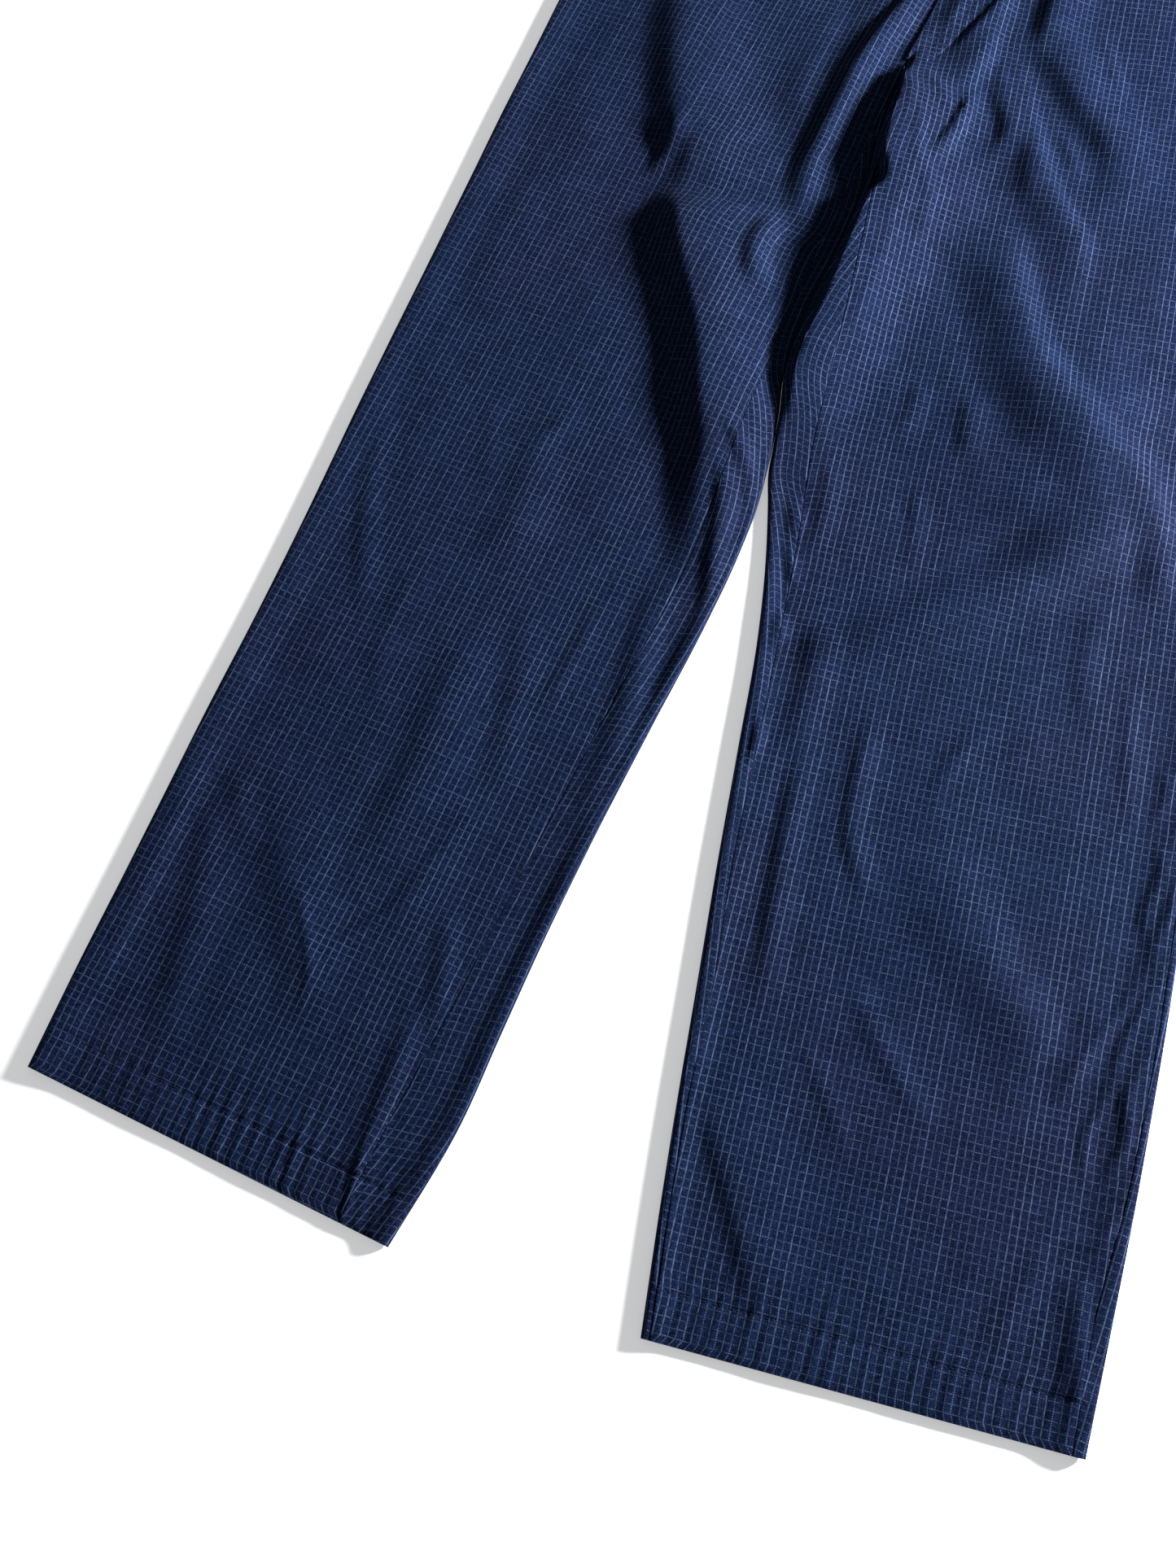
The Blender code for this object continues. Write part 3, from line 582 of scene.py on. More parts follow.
def folds_at(rows, side, x, y):
    """The height of all the folds of a table. Each is worked out only near its crest."""
    raised = np.zeros_like(x)
    for row in rows:
        fold = dict(zip(FOLD_COLUMNS, row))
        if fold.pop("side") != side:
            continue
        reach = max(np.max(fold["west"]), np.max(fold["east"]))
        low = np.min(fold["crest"], axis=0) - reach
        high = np.max(fold["crest"], axis=0) + reach
        near = (x > low[0]) & (x < high[0]) & (y > low[1]) & (y < high[1])
        if near.any():
            raised[near] += fold_height(x[near], y[near], **fold)
    return raised


def uneven(x, y, length, seed):
    """Smooth unevenness from -1 to 1 with the given wavelength, the same on each run."""
    flat = [noise.noise(Vector((a / length, b / length, seed)))
            for a, b in zip(np.ravel(x), np.ravel(y))]
    return np.reshape(flat, np.shape(x))


def sizes():
    return bpy.context.scene.pants_sizes


def colours():
    return bpy.context.scene.pants_colours


def inward(side):
    return -side


def top_width(side, y):
    """Where the flat part of the upper layer starts and ends at y: x at both edges."""
    name = SIDE_NAMES[side]
    outer = along(OUTLINE, name + "_outer", y) + inward(side) * EDGE_RADIUS
    inner = along(OUTLINE, name + "_inner", y)
    turn = EDGE_RADIUS * soft_step(-y / CROTCH_PINCH)
    meet = along(CENTRE, "front", y) - inward(side) * SEAM_GAP / 2
    return outer, np.where(y > 0, meet, inner - inward(side) * turn)


def worn_height(side, x, y):
    """Broad soft dents, deeper by the crotch, and finer ones between them."""
    by_crotch = np.exp(-((y - DENT_Y) / DENT_REACH) ** 2)
    height = np.zeros_like(by_crotch)
    for size, added, length, lean, squeeze, seed in DENT_ROWS:
        dents = uneven(x + lean * y, squeeze * y, length, seed + side)
        height = height + (size + added * by_crotch) * dents
    return sizes().worn * height


def hem_streaks(side, x, y):
    """Streaks along the warp that the hem's stitches draw up, and the groove of the stitches."""
    up = y - HEM_Y
    over = up - sizes().hem_depth / MM
    stray = HEM_STREAK_STRAY * uneven(x, 0.1 * y, length=31.0, seed=21.0 + side)
    phase = (x - HEM_STREAK_LEAN * side * up) / HEM_STREAK + stray
    wave = (0.5 + 0.5 * np.cos(2 * math.pi * phase)) ** HEM_STREAK_SHARP
    share = HEM_STREAK_SPREAD * uneven(x, 0.05 * y, length=19.0, seed=33.0 + side)
    size = HEM_STREAK_SIZE * np.clip(HEM_STREAK_MEAN + share, *HEM_STREAK_SHARES)
    below = soft_step(up / HEM_STREAK_RISE)
    above = np.exp(-np.maximum(over, 0.0) / HEM_STREAK_REACH)
    return wave * size * below * above - HEM_GROOVE_DEPTH * np.exp(-(over / HEM_GROOVE_WIDTH) ** 2)


def top_height(side, x, y):
    """The height of the upper layer's outer face."""
    calm = 1 - soft_step((y - WAIST_FADE_Y) / (WAIST_Y - WAIST_FADE_Y))
    base = FLAT_HEIGHT + (WAIST_HEIGHT - FLAT_HEIGHT) * (1 - calm)
    height = base + folds_at(FOLD_ROWS, side, x, y) * calm
    outer, inner = top_width(side, y)
    from_outer = np.abs(x - outer)
    from_inner = np.abs(inner - x)
    height = EDGE_HEIGHT + (height - EDGE_HEIGHT) * soft_step(from_outer / EDGE_SOFT)
    rise = along(CENTRE, SIDE_NAMES[side] + "_rise", y)
    edge = along(CENTRE, SIDE_NAMES[side] + "_height", y)
    height = edge + (height - edge) * soft_step(from_inner / rise)
    fine = folds_at(CREASE_ROWS, side, x, y) + worn_height(side, x, y)
    fine *= WAIST_FINE + (1 - WAIST_FINE) * calm
    fine += hem_streaks(side, x, y)
    for from_edge in (from_outer, from_inner):
        fine *= soft_step(from_edge / FINE_EDGE_SOFT)
    height += fine
    over = height - LEAST_HEIGHT
    return LEAST_HEIGHT + 0.5 * (over + np.sqrt(over**2 + LEAST_SOFT**2))


def hem_line(side, x):
    """The y of the hem at x."""
    hem = dict(zip(HEM_COLUMNS, HEM_ROWS[side]))
    return hem["y"] + hem["slope"] * (x - hem["x"])


def row_y(side, x, y, layer):
    """The real y of a point in the row called y: rows tilt to the hem and bow to the waist."""
    low = 1 - soft_step((y - HEM_Y) / (HEM_FADE_Y - HEM_Y))
    high = soft_step((y - WAIST_FADE_Y) / (WAIST_Y - WAIST_FADE_Y))
    bow = np.clip(1 - ((x - MIDDLE_X) / WAIST_HALF) ** 2, 0.0, 1.0)
    shift = BACK_LIFT if layer == "lower" else -FRONT_DIP
    return y + low * (hem_line(side, x) - HEM_Y) + high * bow * shift


def laid(side, x, y, z, layer="upper"):
    """Points at x and row y of a layer, in metres in the frame of the whole part."""
    up = row_y(side, x, y, layer) - MIDDLE_Y
    return np.stack(np.broadcast_arrays(x - MIDDLE_X, up, z), axis=-1) * MM


def seam_drop(distance):
    """How far the cloth sinks at a distance from a seam."""
    return SEAM_DEPTH * np.clip(1 - distance / SEAM_ROUND, 0.0, 1.0) ** SEAM_SHARP


def seam_puckers(distance, y, seed):
    """The small waves that sewing leaves beside a seam."""
    stray = PUCKER_STRAY * uneven(y, 0 * y, length=26.0, seed=seed)
    wave = np.cos(2 * math.pi * y / PUCKER_LENGTH + stray)
    return PUCKER_SIZE * wave * np.exp(-(distance / PUCKER_REACH) ** 2)


def upper_points(side, x, y, from_seam):
    """Points on the outer face of the upper layer, at a distance from the nearest seam."""
    z = top_height(side, x, y) - seam_drop(from_seam) + seam_puckers(from_seam, y, 40.0 + side)
    return laid(side, x, y, z)


def turned_points(side, y, angle, edge):
    """Points on the turn of the cloth at the outer or inner edge. Angle 0 is the ground."""
    outer, inner = top_width(side, y)
    round_z = 1 - np.cos(angle)
    if edge == "outer":
        x = outer - inward(side) * EDGE_RADIUS * np.sin(angle)
        top = EDGE_HEIGHT
    else:
        roundness = soft_step(-y / CROTCH_PINCH)
        round_z = roundness * round_z + (1 - roundness) * 2 * angle / math.pi
        x = inner + inward(side) * EDGE_RADIUS * roundness * np.sin(angle)
        top = along(CENTRE, SIDE_NAMES[side] + "_height", y)
    return laid(side, x, y, GROUND + (top - GROUND) / 2 * round_z, "lower")


def inseam_at(side, y):
    """The x of the inseam, which never lies past the turn of the cloth."""
    inseam = along(OUTLINE, SIDE_NAMES[side] + "_inseam", y)
    inner = top_width(side, y)[1]
    return inward(side) * np.minimum(inward(side) * inseam, inward(side) * inner)


def inner_strip(side, y):
    """Columns of the back panel from the inseam over the edge and down to the ground."""
    inner = top_width(side, y)[1]
    inseam = inseam_at(side, y)
    flat = inward(side) * (inner - inseam)
    turn = math.pi * EDGE_RADIUS
    first = SEAM_GAP / 2 + CORNER_GAP * (1 - soft_step(flat / CORNER_REACH))
    full = soft_step(flat / STRIP_FULL)
    offsets = SEAM_OFFSETS[:-1]
    paths = [first + offset * full + (1 - full) * STRIP_STEP * i
             for i, offset in enumerate(offsets)]
    shares = [(share, 0.0) for share in np.linspace(0, 1, STRIP_COLUMNS)]
    shares += [(1.0, share) for share in np.linspace(0, 1, STRIP_TURN_COLUMNS)[1:-1]]
    begin = first + offsets[-1] + STRIP_CLEAR
    close = first + STRIP_STEP * len(offsets)
    for i, (on_flat, on_turn) in enumerate(shares):
        spread = begin + on_flat * np.maximum(flat - begin, 0.0) + on_turn * turn
        even = close + (flat + turn - close) * i / len(shares)
        paths.append(full * spread + (1 - full) * even)
    columns = []
    for path in paths:
        x = inseam + inward(side) * np.minimum(path, flat)
        upper = upper_points(side, x, y, (path - first) * np.maximum(full, STRIP_LEAST))
        angle = math.pi * (1 - np.clip((path - flat) / turn, 0.0, 1.0))
        turned = turned_points(side, y, angle, "inner")
        columns.append(np.where((path < flat)[:, None], upper, turned))
    return columns


def back_seam(side, y, gap):
    """The x of the centre back seam on a side, with half of the gap left free."""
    return MIDDLE_X * y / WAIST_Y - inward(side) * gap / 2


def lower_points(side, y, share):
    """Points on the outer face of the lower layer, from the inner edge at 0 to the outer at 1."""
    outer, inner = top_width(side, y)
    start = np.where(y > 0, back_seam(side, y, SEAM_GAP), inner)
    return laid(side, start + share * (outer - start), y, GROUND, "lower")


def section_rows(step):
    """The rows of a panel, from the hem to the waist seam."""
    stitches = HEM_Y + sizes().hem_depth / MM
    above = stitches + STITCH_CLEAR
    low, high = PLAIN_Y
    top = WAIST_Y - ROWS_INSET
    plain = PLAIN_SHARE * step
    return np.concatenate([
        HEM_Y + np.array(HEM_OFFSETS),
        np.linspace(HEM_Y + HEM_CLEAR, stitches - STITCH_CLEAR,
                    max(int(HEM_SPAN / step), HEM_LEAST)),
        stitches + np.array(STITCH_OFFSETS),
        np.linspace(above, low, int((low - above) / step)),
        np.linspace(low + plain, high, int((high - low) / plain)),
        np.linspace(high + step, top, int((top - high) / step)),
        WAIST_Y - SEAM_GAP - np.array(WAIST_OFFSETS),
    ])


def turned_to_warp(name, across, up):
    """Places on the cloth, turned to the way of the panel's warp."""
    turn = math.radians(GRAIN[name][0])
    return np.stack([
        across * math.cos(turn) - up * math.sin(turn),
        across * math.sin(turn) + up * math.cos(turn),
    ], axis=-1)


def grain_map(name, grid, sign):
    """The cloth's own coordinates of each point: across and along the warp, in metres."""
    x, y, z = (grid / MM).transpose(2, 0, 1)
    x = x + MIDDLE_X
    across = np.cumsum(np.hypot(np.diff(x, axis=1), np.diff(z, axis=1)), axis=1)
    across = sign * np.concatenate([np.zeros((len(x), 1)), across], axis=1)
    at = np.abs(x - GRAIN[name][1]).argmin(axis=1)[:, None]
    across += np.take_along_axis(x, at, 1) - np.take_along_axis(across, at, 1)
    (x_up, x_step), (y_up, _), (z_up, z_step) = (np.gradient(part) for part in (x, y, z))
    flat = np.abs(x_step) > STEEP_RUN * np.hypot(x_step, z_step)
    slope_x = np.where(flat, z_step / np.where(flat, x_step, 1.0), 0.0)
    slope_y = np.clip((z_up - slope_x * x_up) / y_up, -MOST_SLOPE, MOST_SLOPE) * flat
    up = y + np.cumsum((np.sqrt(1 + slope_y**2) - 1) * y_up, axis=0)
    return turned_to_warp(name, across, up) * MM


def activate(obj):
    """Makes obj the only selected object, and the active one."""
    bpy.ops.object.select_all(action="DESELECT")
    obj.select_set(True)
    bpy.context.view_layer.objects.active = obj


def cloth_mesh(name, grid, cloth_map, thickness, keep=None, thick=None):
    """A shell of cloth on a grid of points of its outer face, with the cloth's own map."""
    rows, columns = grid.shape[:2]
    bpy.ops.object.select_all(action="DESELECT")
    bpy.ops.mesh.primitive_grid_add(
        x_subdivisions=columns - 1, y_subdivisions=rows - 1, size=1.0, calc_uvs=False)
    obj = bpy.context.object
    obj.name = name
    mesh = obj.data
    mesh.name = name
    mesh.vertices.foreach_set("co", grid.reshape(-1).astype(np.float32))
    corners = np.empty(len(mesh.loops), np.int32)
    mesh.loops.foreach_get("vertex_index", corners)
    layer = mesh.uv_layers.new(name="cloth")
    layer.data.foreach_set("uv", cloth_map.reshape(-1, 2)[corners].reshape(-1).astype(np.float32))
    if thick is not None:
        group = obj.vertex_groups.new(name="thick")
        for weight in np.unique(thick):
            group.add(np.flatnonzero(thick == weight).tolist(), float(weight), "REPLACE")
    if keep is not None:
        edit = bmesh.new()
        edit.from_mesh(mesh)
        unused = [face for face, kept in zip(edit.faces, keep.reshape(-1)) if not kept]
        bmesh.ops.delete(edit, geom=unused, context="FACES")
        edit.to_mesh(mesh)
        edit.free()
    wall = obj.modifiers.new("Cloth wall", "SOLIDIFY")
    wall.thickness = thickness
    wall.offset = -1.0
    wall.use_quality_normals = True
    if thick is not None:
        wall.vertex_group = "thick"
    activate(obj)
    bpy.ops.object.modifier_apply(modifier=wall.name)
    bpy.ops.object.shade_smooth_by_angle(angle=SMOOTH_ANGLE)
    return obj


def hem_weights(grid, y):
    """The share of the hem's thickness that each point has, in steps of a hundredth."""
    plain = sizes().cloth / sizes().hem_cloth
    depth = sizes().hem_depth / MM
    weights = plain + (1 - plain) * soft_step((HEM_Y + depth + HEM_STEP / 2 - y) / HEM_STEP)
    return np.repeat(np.round(weights, 2)[:, None], grid.shape[1], axis=1)


def finish_piece(obj, material, replaced=None):
    """Gives a piece its material, its body and the node that it stands for."""
    obj.data.materials.clear()
    obj.data.materials.append(material)
    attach(obj, "root")
    if replaced:
        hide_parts(replaced)


def sheet_piece(name, under, grid, cloth_map, wall, mirrored=False, keep=None, thick=None):
    """The sheet of cloth that stands for the node called name. Under, the piece that it rests on,
    is not used.
    """
    if mirrored:
        grid, cloth_map = grid[:, ::-1], cloth_map[:, ::-1]
        keep = None if keep is None else keep[:, ::-1]
    obj = cloth_mesh(name + "_cloth", grid, cloth_map, wall, keep, thick)
    finish_piece(obj, cloth_material(), name)
    width, length, area = CUTS[name]


def crest_share(y, start, end):
    """How far across the right front the crest of the thigh fold lies at y."""
    crest = smooth_line(FOLD_ROWS[0][FOLD_COLUMNS.index("crest")])[::-1]
    x = np.interp(y, crest[:, 1], crest[:, 0])
    share = np.minimum((x - start) / (end - start), MOST_CREST_SHARE)
    return share - SPREAD_SHARE * soft_step((SPREAD_Y - y) / SPREAD_LENGTH)


def front_panel(side):
    """From the outseam over the top to the inseam, and to the centre front above the crotch."""
    y = section_rows(FRONT_STEP)
    name = "front_" + SIDE_NAMES[side]
    outer, inner = top_width(side, y)
    end = np.where(y > 0, inner, inseam_at(side, y) - inward(side) * SEAM_GAP / 2)
    last = SEAM_OFFSETS[-1]
    if side == RIGHT:
        start = outer
        columns = [turned_points(side, y, turn * math.pi, "outer") for turn in FRONT_TURNS]
        crest = crest_share(y, start, end)
        shares = [share * crest for share in 1 - np.linspace(1, 0, WEST_COLUMNS) ** CROWDING]
        shares += [crest + share * (1 - crest) for share in np.linspace(0, 1, EAST_COLUMNS)[1:]]
        for share in shares[:-1]:
            x = start + share * (end - last - start)
            columns.append(upper_points(side, x, y, end - x))
    else:
        start = along(OUTLINE, "left_outseam", y) - SEAM_GAP / 2
        columns = [upper_points(side, start - offset, y, offset) for offset in SEAM_OFFSETS[:-1]]
        for share in np.linspace(0, 1, LEFT_COLUMNS)[:-1]:
            x = start - last + share * (end - start + 2 * last)
            columns.append(upper_points(side, x, y, np.minimum(x - end, start - x)))
    columns += [upper_points(side, end - inward(side) * offset, y, offset)
                for offset in SEAM_OFFSETS[::-1]]
    grid = np.stack(columns, axis=1)
    if side == RIGHT:
        grid[:, 0, 2] += SEAM_GAP / 2 * MM
    sheet_piece(name, "back_" + SIDE_NAMES[side] + "_cloth", grid,
                grain_map(name, grid, inward(side)), sizes().hem_cloth, side == LEFT,
                thick=hem_weights(grid, y))


def back_panel(side):
    """From the inseam round the inner edge, over the ground and round the outer edge."""
    y = section_rows(BACK_STEP)
    name = "back_" + SIDE_NAMES[side]
    columns = inner_strip(side, y)
    extra = len(columns)
    columns += [lower_points(side, y, share) for share in np.linspace(0, 1, GROUND_COLUMNS)]
    columns += [turned_points(side, y, turn * math.pi, "outer") for turn in BACK_TURNS[side]]
    if side == RIGHT:
        columns[-1][:, 2] -= SEAM_GAP / 2 * MM
    else:
        outer = top_width(side, y)[0]
        seam = along(OUTLINE, "left_outseam", y) + SEAM_GAP / 2
        for offset in OUTSEAM_OFFSETS:
            x = np.minimum(seam + offset, outer - OUTSEAM_CLEAR * (1 + offset))
            columns.append(upper_points(side, x, y, offset))
    grid = np.stack(columns, axis=1)
    keep = np.ones((grid.shape[0] - 1, grid.shape[1] - 1), bool)
    keep[y[:-1] >= 0, :extra] = False
    sheet_piece(name, "floor", grid, grain_map(name, grid, -inward(side)), sizes().hem_cloth,
                side == LEFT, keep, hem_weights(grid, y))


def band_top(side, x, y):
    """The height of the waistband's outer face over the fronts."""
    height = np.full_like(x, BAND_TOP)
    if side == LEFT:
        beside = along(CENTRE, "front", y) + UNDERLAP_LENGTH + OVERLAP_FLAT
        height = height + OVERLAP_RISE * soft_step((beside + OVERLAP_RAMP - x) / OVERLAP_RAMP)
    for size, length, seed in BAND_DENT_ROWS:
        height = height + size * uneven(x, y, length, seed)
    return height


def rounded(distance):
    """How far the waistband's face lies below its top at a distance from its edge."""
    inside = np.clip(1 - distance / BAND_ROUND, 0.0, 1.0)
    return BAND_ROUND * (1 - np.sqrt(1 - inside**2))


def band_half(side):
    """Half of the waistband, from its end at the front round the side to the centre back."""
    edge = np.array(BAND_EDGE_OFFSETS)
    last = edge[-1]
    middle = np.linspace(ROWS_INSET, BAND_HEIGHT - ROWS_INSET, BAND_ROWS)
    y = WAIST_Y + np.concatenate([edge, middle, BAND_HEIGHT - edge[::-1]])
    drop = rounded(np.minimum(y - WAIST_Y, WAIST_Y + BAND_HEIGHT - y))
    outer = along(OUTLINE, SIDE_NAMES[side] + "_outer", y) + inward(side) * EDGE_RADIUS
    centre = along(CENTRE, "front", y)
    end = centre - OVERLAP_END if side == LEFT else centre + UNDERLAP_LENGTH
    spots = [(end - inward(side) * offset, offset) for offset in BAND_EDGE_OFFSETS]
    spots += [(end - inward(side) * last + share * (outer - end + inward(side) * last), last)
              for share in np.linspace(0, 1, BAND_TOP_COLUMNS)[1:]]
    columns = []
    for x, offset in spots:
        z = band_top(side, x, y) - np.maximum(drop, rounded(offset))
        columns.append(laid(side, x, y, z))
    half = (band_top(side, outer, y) - GROUND) / 2
    for turn in np.linspace(1, 0, BAND_TURN_COLUMNS)[1:-1]:
        x = outer - inward(side) * EDGE_RADIUS * math.sin(turn * math.pi)
        z = GROUND + half * (1 - math.cos(turn * math.pi)) + drop * (1 if turn < 0.5 else -1)
        columns.append(laid(side, x, y, z, "lower"))
    for share in np.linspace(0, 1, BAND_GROUND_COLUMNS):
        x = outer + share * (back_seam(side, y, BACK_GAP) - outer)
        columns.append(laid(side, x, y, GROUND + drop, "lower"))
    grid = np.stack(columns, axis=1)
    steps = np.hypot(np.diff(grid[..., 0], axis=1), np.diff(grid[..., 2], axis=1))
    across = np.concatenate([np.zeros((len(y), 1)), np.cumsum(steps, axis=1)], axis=1)
    cloth_map = np.stack([-inward(side) * across, grid[..., 1]], axis=-1)
    sheet_piece("waistband_" + SIDE_NAMES[side], "front_" + SIDE_NAMES[side] + "_cloth", grid,
                cloth_map, BAND_CLOTH * MM, side == RIGHT)


def lying_points(x, y, centre, lift):
    """Points that lie on the fronts, lifted square to them."""

    def height(at_x, at_y):
        on_left = top_height(LEFT, np.maximum(at_x, centre + SEAM_GAP / 2), at_y)
        on_right = top_height(RIGHT, np.minimum(at_x, centre - SEAM_GAP / 2), at_y)
        return np.where(at_x > centre, on_left, on_right)

    slope_x = height(x + 0.5, y) - height(x - 0.5, y)
    slope_y = height(x, y + 0.5) - height(x, y - 0.5)
    up = lift * np.sqrt(1 + slope_x**2 + slope_y**2)
    return laid(LEFT, x, y, height(x, y) + up)


def fly_strip():
    """The fly, on the left front and just over the edge of the right one."""
    edge = np.array(FLY_EDGE_OFFSETS)
    low = FLY["y"][0]
    y = np.concatenate([
        low + edge,
        np.linspace(low + ROWS_INSET, WAIST_Y - ROWS_INSET, FLY_ROWS_BETWEEN),
        WAIST_Y - SEAM_GAP - edge[::-1],
    ])
    centre = along(CENTRE, "front", y)
    reach = along(FLY, "reach", y) + FLY_EDGE
    places = list(edge) + [ROWS_INSET + share * (reach - 2 * ROWS_INSET)
                           for share in np.linspace(0, 1, FLY_COLUMNS_BETWEEN)]
    columns = []
    for at in places + [reach - offset for offset in edge[::-1]]:
        from_edge = np.minimum(np.minimum(at, reach - at), y - low)
        lift = FLY_LIFT * soft_step(from_edge / FLY_EDGE_SOFT + FLY_LEAST)
        columns.append(lying_points(centre - FLY_EDGE + at, y, centre, lift))
    grid = np.stack(columns, axis=1)
    cloth_map = turned_to_warp("front_left", grid[..., 0], grid[..., 1])
    sheet_piece("fly", "front_left_cloth", grid, cloth_map, sizes().cloth)


def button_place():
    """The middle of the button's underside, in metres."""
    y = np.array(WAIST_Y + BAND_HEIGHT / 2)
    x = along(CENTRE, "front", y) + BUTTON_X
    return Vector(laid(LEFT, x, y, BAND_TOP + OVERLAP_RISE + BUTTON_LIFT))


def select_faces(way):
    """In edit mode, selects the faces that look the given way."""
    mesh = bpy.context.object.data
    edit = bmesh.from_edit_mesh(mesh)
    for face in edit.faces:
        face.select_set(face.normal.dot(way) > FACING)
    edit.select_flush_mode()
    bmesh.update_edit_mesh(mesh)


def settle_in_place(obj):
    """Puts the object's place into its mesh, so that the object sits at the origin."""
    activate(obj)
    bpy.ops.object.transform_apply(location=True, rotation=True, scale=True)


def cylinder(sides, radius, depth, location, rotation=(0, 0, 0)):
    """A cylinder with closed ends, as the active object."""
    bpy.ops.object.select_all(action="DESELECT")
    bpy.ops.mesh.primitive_cylinder_add(
        vertices=sides, radius=radius, depth=depth, location=location, rotation=rotation)
    return bpy.context.object


def button_disc(place):
    """A turned button with a raised rim, a dished middle and four holes."""
    radius = BUTTON_RADIUS * MM
    height = BUTTON_HEIGHT * MM
    disc = cylinder(BUTTON_SIDES, radius, height, place + Vector((0, 0, height / 2)))
    disc.name = "button_disc"
    settle_in_place(disc)
    bpy.ops.object.mode_set(mode="EDIT")
    bpy.ops.mesh.select_mode(type="FACE")
    for way, steps in ((1, BUTTON_FACE), (-1, BUTTON_BACK)):
        select_faces(Vector((0, 0, way)))
        for inset, sink in steps:
            bpy.ops.mesh.inset(thickness=inset * radius)
            bpy.ops.transform.translate(value=(0, 0, -way * sink * height))
    bpy.ops.object.mode_set(mode="OBJECT")
    for i in range(4):
        angle = math.pi / 4 + i * math.pi / 2
        spot = Vector((math.cos(angle), math.sin(angle), 0)) * HOLE_SPREAD * math.sqrt(2) * MM
        spot += place + Vector((0, 0, height))
        cutter = cylinder(HOLE_SIDES, HOLE_RADIUS * MM, 4 * height, spot)
        hole = disc.modifiers.new("Hole", "BOOLEAN")
        hole.object = cutter
        hole.operation = "DIFFERENCE"
        activate(disc)
        bpy.ops.object.modifier_apply(modifier=hole.name)
        bpy.data.objects.remove(cutter, do_unlink=True)
    soft = disc.modifiers.new("Soft edges", "BEVEL")
    soft.width = BUTTON_BEVEL * MM
    soft.segments = 3
    soft.limit_method = "ANGLE"
    soft.angle_limit = BUTTON_BEVEL_ANGLE
    bpy.ops.object.modifier_apply(modifier=soft.name)
    bpy.ops.object.shade_smooth_by_angle(angle=BUTTON_SMOOTH_ANGLE)
    finish_piece(disc, button_material(), "button")


def one_stitch():
    """Points and faces of one stitch along X, with a length and a radius of one."""
    stitch = cylinder(STITCH_SIDES, 1.0, STITCH_MIDDLE, (-STITCH_MIDDLE / 2, 0, 0),
                      (0, math.pi / 2, 0))
    settle_in_place(stitch)
    bpy.ops.object.mode_set(mode="EDIT")
    bpy.ops.mesh.select_mode(type="FACE")
    for way, steps in STITCH_ENDS:
        select_faces(Vector((way, 0, 0)))
        for out, size in steps:
            bpy.ops.mesh.extrude_region_move(TRANSFORM_OT_translate={"value": (way * out, 0, 0)})
            bpy.ops.transform.resize(value=(1, size, size))
    bpy.ops.object.mode_set(mode="OBJECT")
    mesh = stitch.data
    # Extruding numbers the corners anew in each run, so here they are sorted by their places
    corners = [tuple(round(part, STITCH_DECIMALS) for part in vertex.co)
               for vertex in mesh.vertices]
    points = sorted(corners)
    faces = sorted(tuple(points.index(corners[i]) for i in face.vertices)
                   for face in mesh.polygons)
    bpy.data.objects.remove(stitch, do_unlink=True)
    bpy.data.meshes.remove(mesh)
    return np.array(points), faces


def stitched(name, lines, width=None, step=None, fill=STITCH_FILL):
    """A piece of stitches along lines of points, each line with its own way up."""
    width = width or sizes().stitch_width
    step = step or sizes().stitch_step
    unit, unit_faces = one_stitch()
    sink = -0.5 * width * (2 * unit[:, :1]) ** 2
    half = 0.5 * fill * step
    points = []
    faces = []
    for line, up in lines:
        runs = np.linalg.norm(np.diff(line, axis=0), axis=1)
        before = np.concatenate([[0.0], np.cumsum(runs)])
        count = int(before[-1] / step)
        for at in (np.arange(count) + 0.5) * before[-1] / max(count, 1):
            start, end = (np.array([np.interp(at + shift, before, line[:, k]) for k in range(3)])
                          for shift in (-half, half))
            length = np.linalg.norm(end - start)
            way = (end - start) / length
            side = np.cross(up, way)
            side /= np.linalg.norm(side)
            base = len(points) * len(unit)
            points.append((start + end) / 2 + unit[:, :1] * length * way
                          + unit[:, 1:2] * 0.5 * width * side
                          + (unit[:, 2:] * 0.5 * width + sink) * np.cross(way, side))
            faces += [tuple(base + i for i in face) for face in unit_faces]
    mesh = bpy.data.meshes.new(name)
    mesh.from_pydata(np.concatenate(points).tolist(), [], faces)
    mesh.shade_smooth()
    obj = bpy.data.objects.new(name, mesh)
    bpy.context.collection.objects.link(obj)
    finish_piece(obj, thread_material())


def hem_stitches(side):
    """The hem's stitches, over the front, the strip beside the inseam and the back."""
    row = np.array(HEM_Y + sizes().hem_depth / MM)
    rise = STITCH_RISE * sizes().stitch_width * UP
    outer, inner = top_width(side, row)
    inset = inward(side) * LINE_CLEAR
    x = np.linspace(outer + inset, inner - inset, LINE_POINTS)
    top = upper_points(side, x, np.full_like(x, row), np.abs(x - inseam_at(side, row)))
    inset = inward(side) * HEM_BACK_INSET
    x = np.linspace(outer + inset, inner - inset, LINE_POINTS)
    under = laid(side, x, row, GROUND, "lower")
    stitched("hem_stitches_" + SIDE_NAMES[side], [(top + rise, UP), (under + rise, -UP)])


def fly_stitches():
    """Two rows of stitches that draw the J of the fly, and one along the centre front."""

    def line(start, x_at):
        y = np.linspace(FLY["y"][0] + start, WAIST_Y - LINE_CLEAR, PLAIN_LINE_POINTS)
        centre = along(CENTRE, "front", y)
        return lying_points(centre + x_at(y), y, centre, FLY_LIFT + STITCH_LIFT), UP

    lines = [
        line(inset + LINE_CLEAR,
             lambda y, inset=inset: along(FLY, "reach", y - FLY_STITCH_TURN * inset) - inset)
        for inset in FLY_STITCH_INSETS
    ]
    lines.append(line(FLY_SEAM_START, lambda y: FLY_SEAM_INSET - FLY_EDGE))
    stitched("fly_stitches", lines)


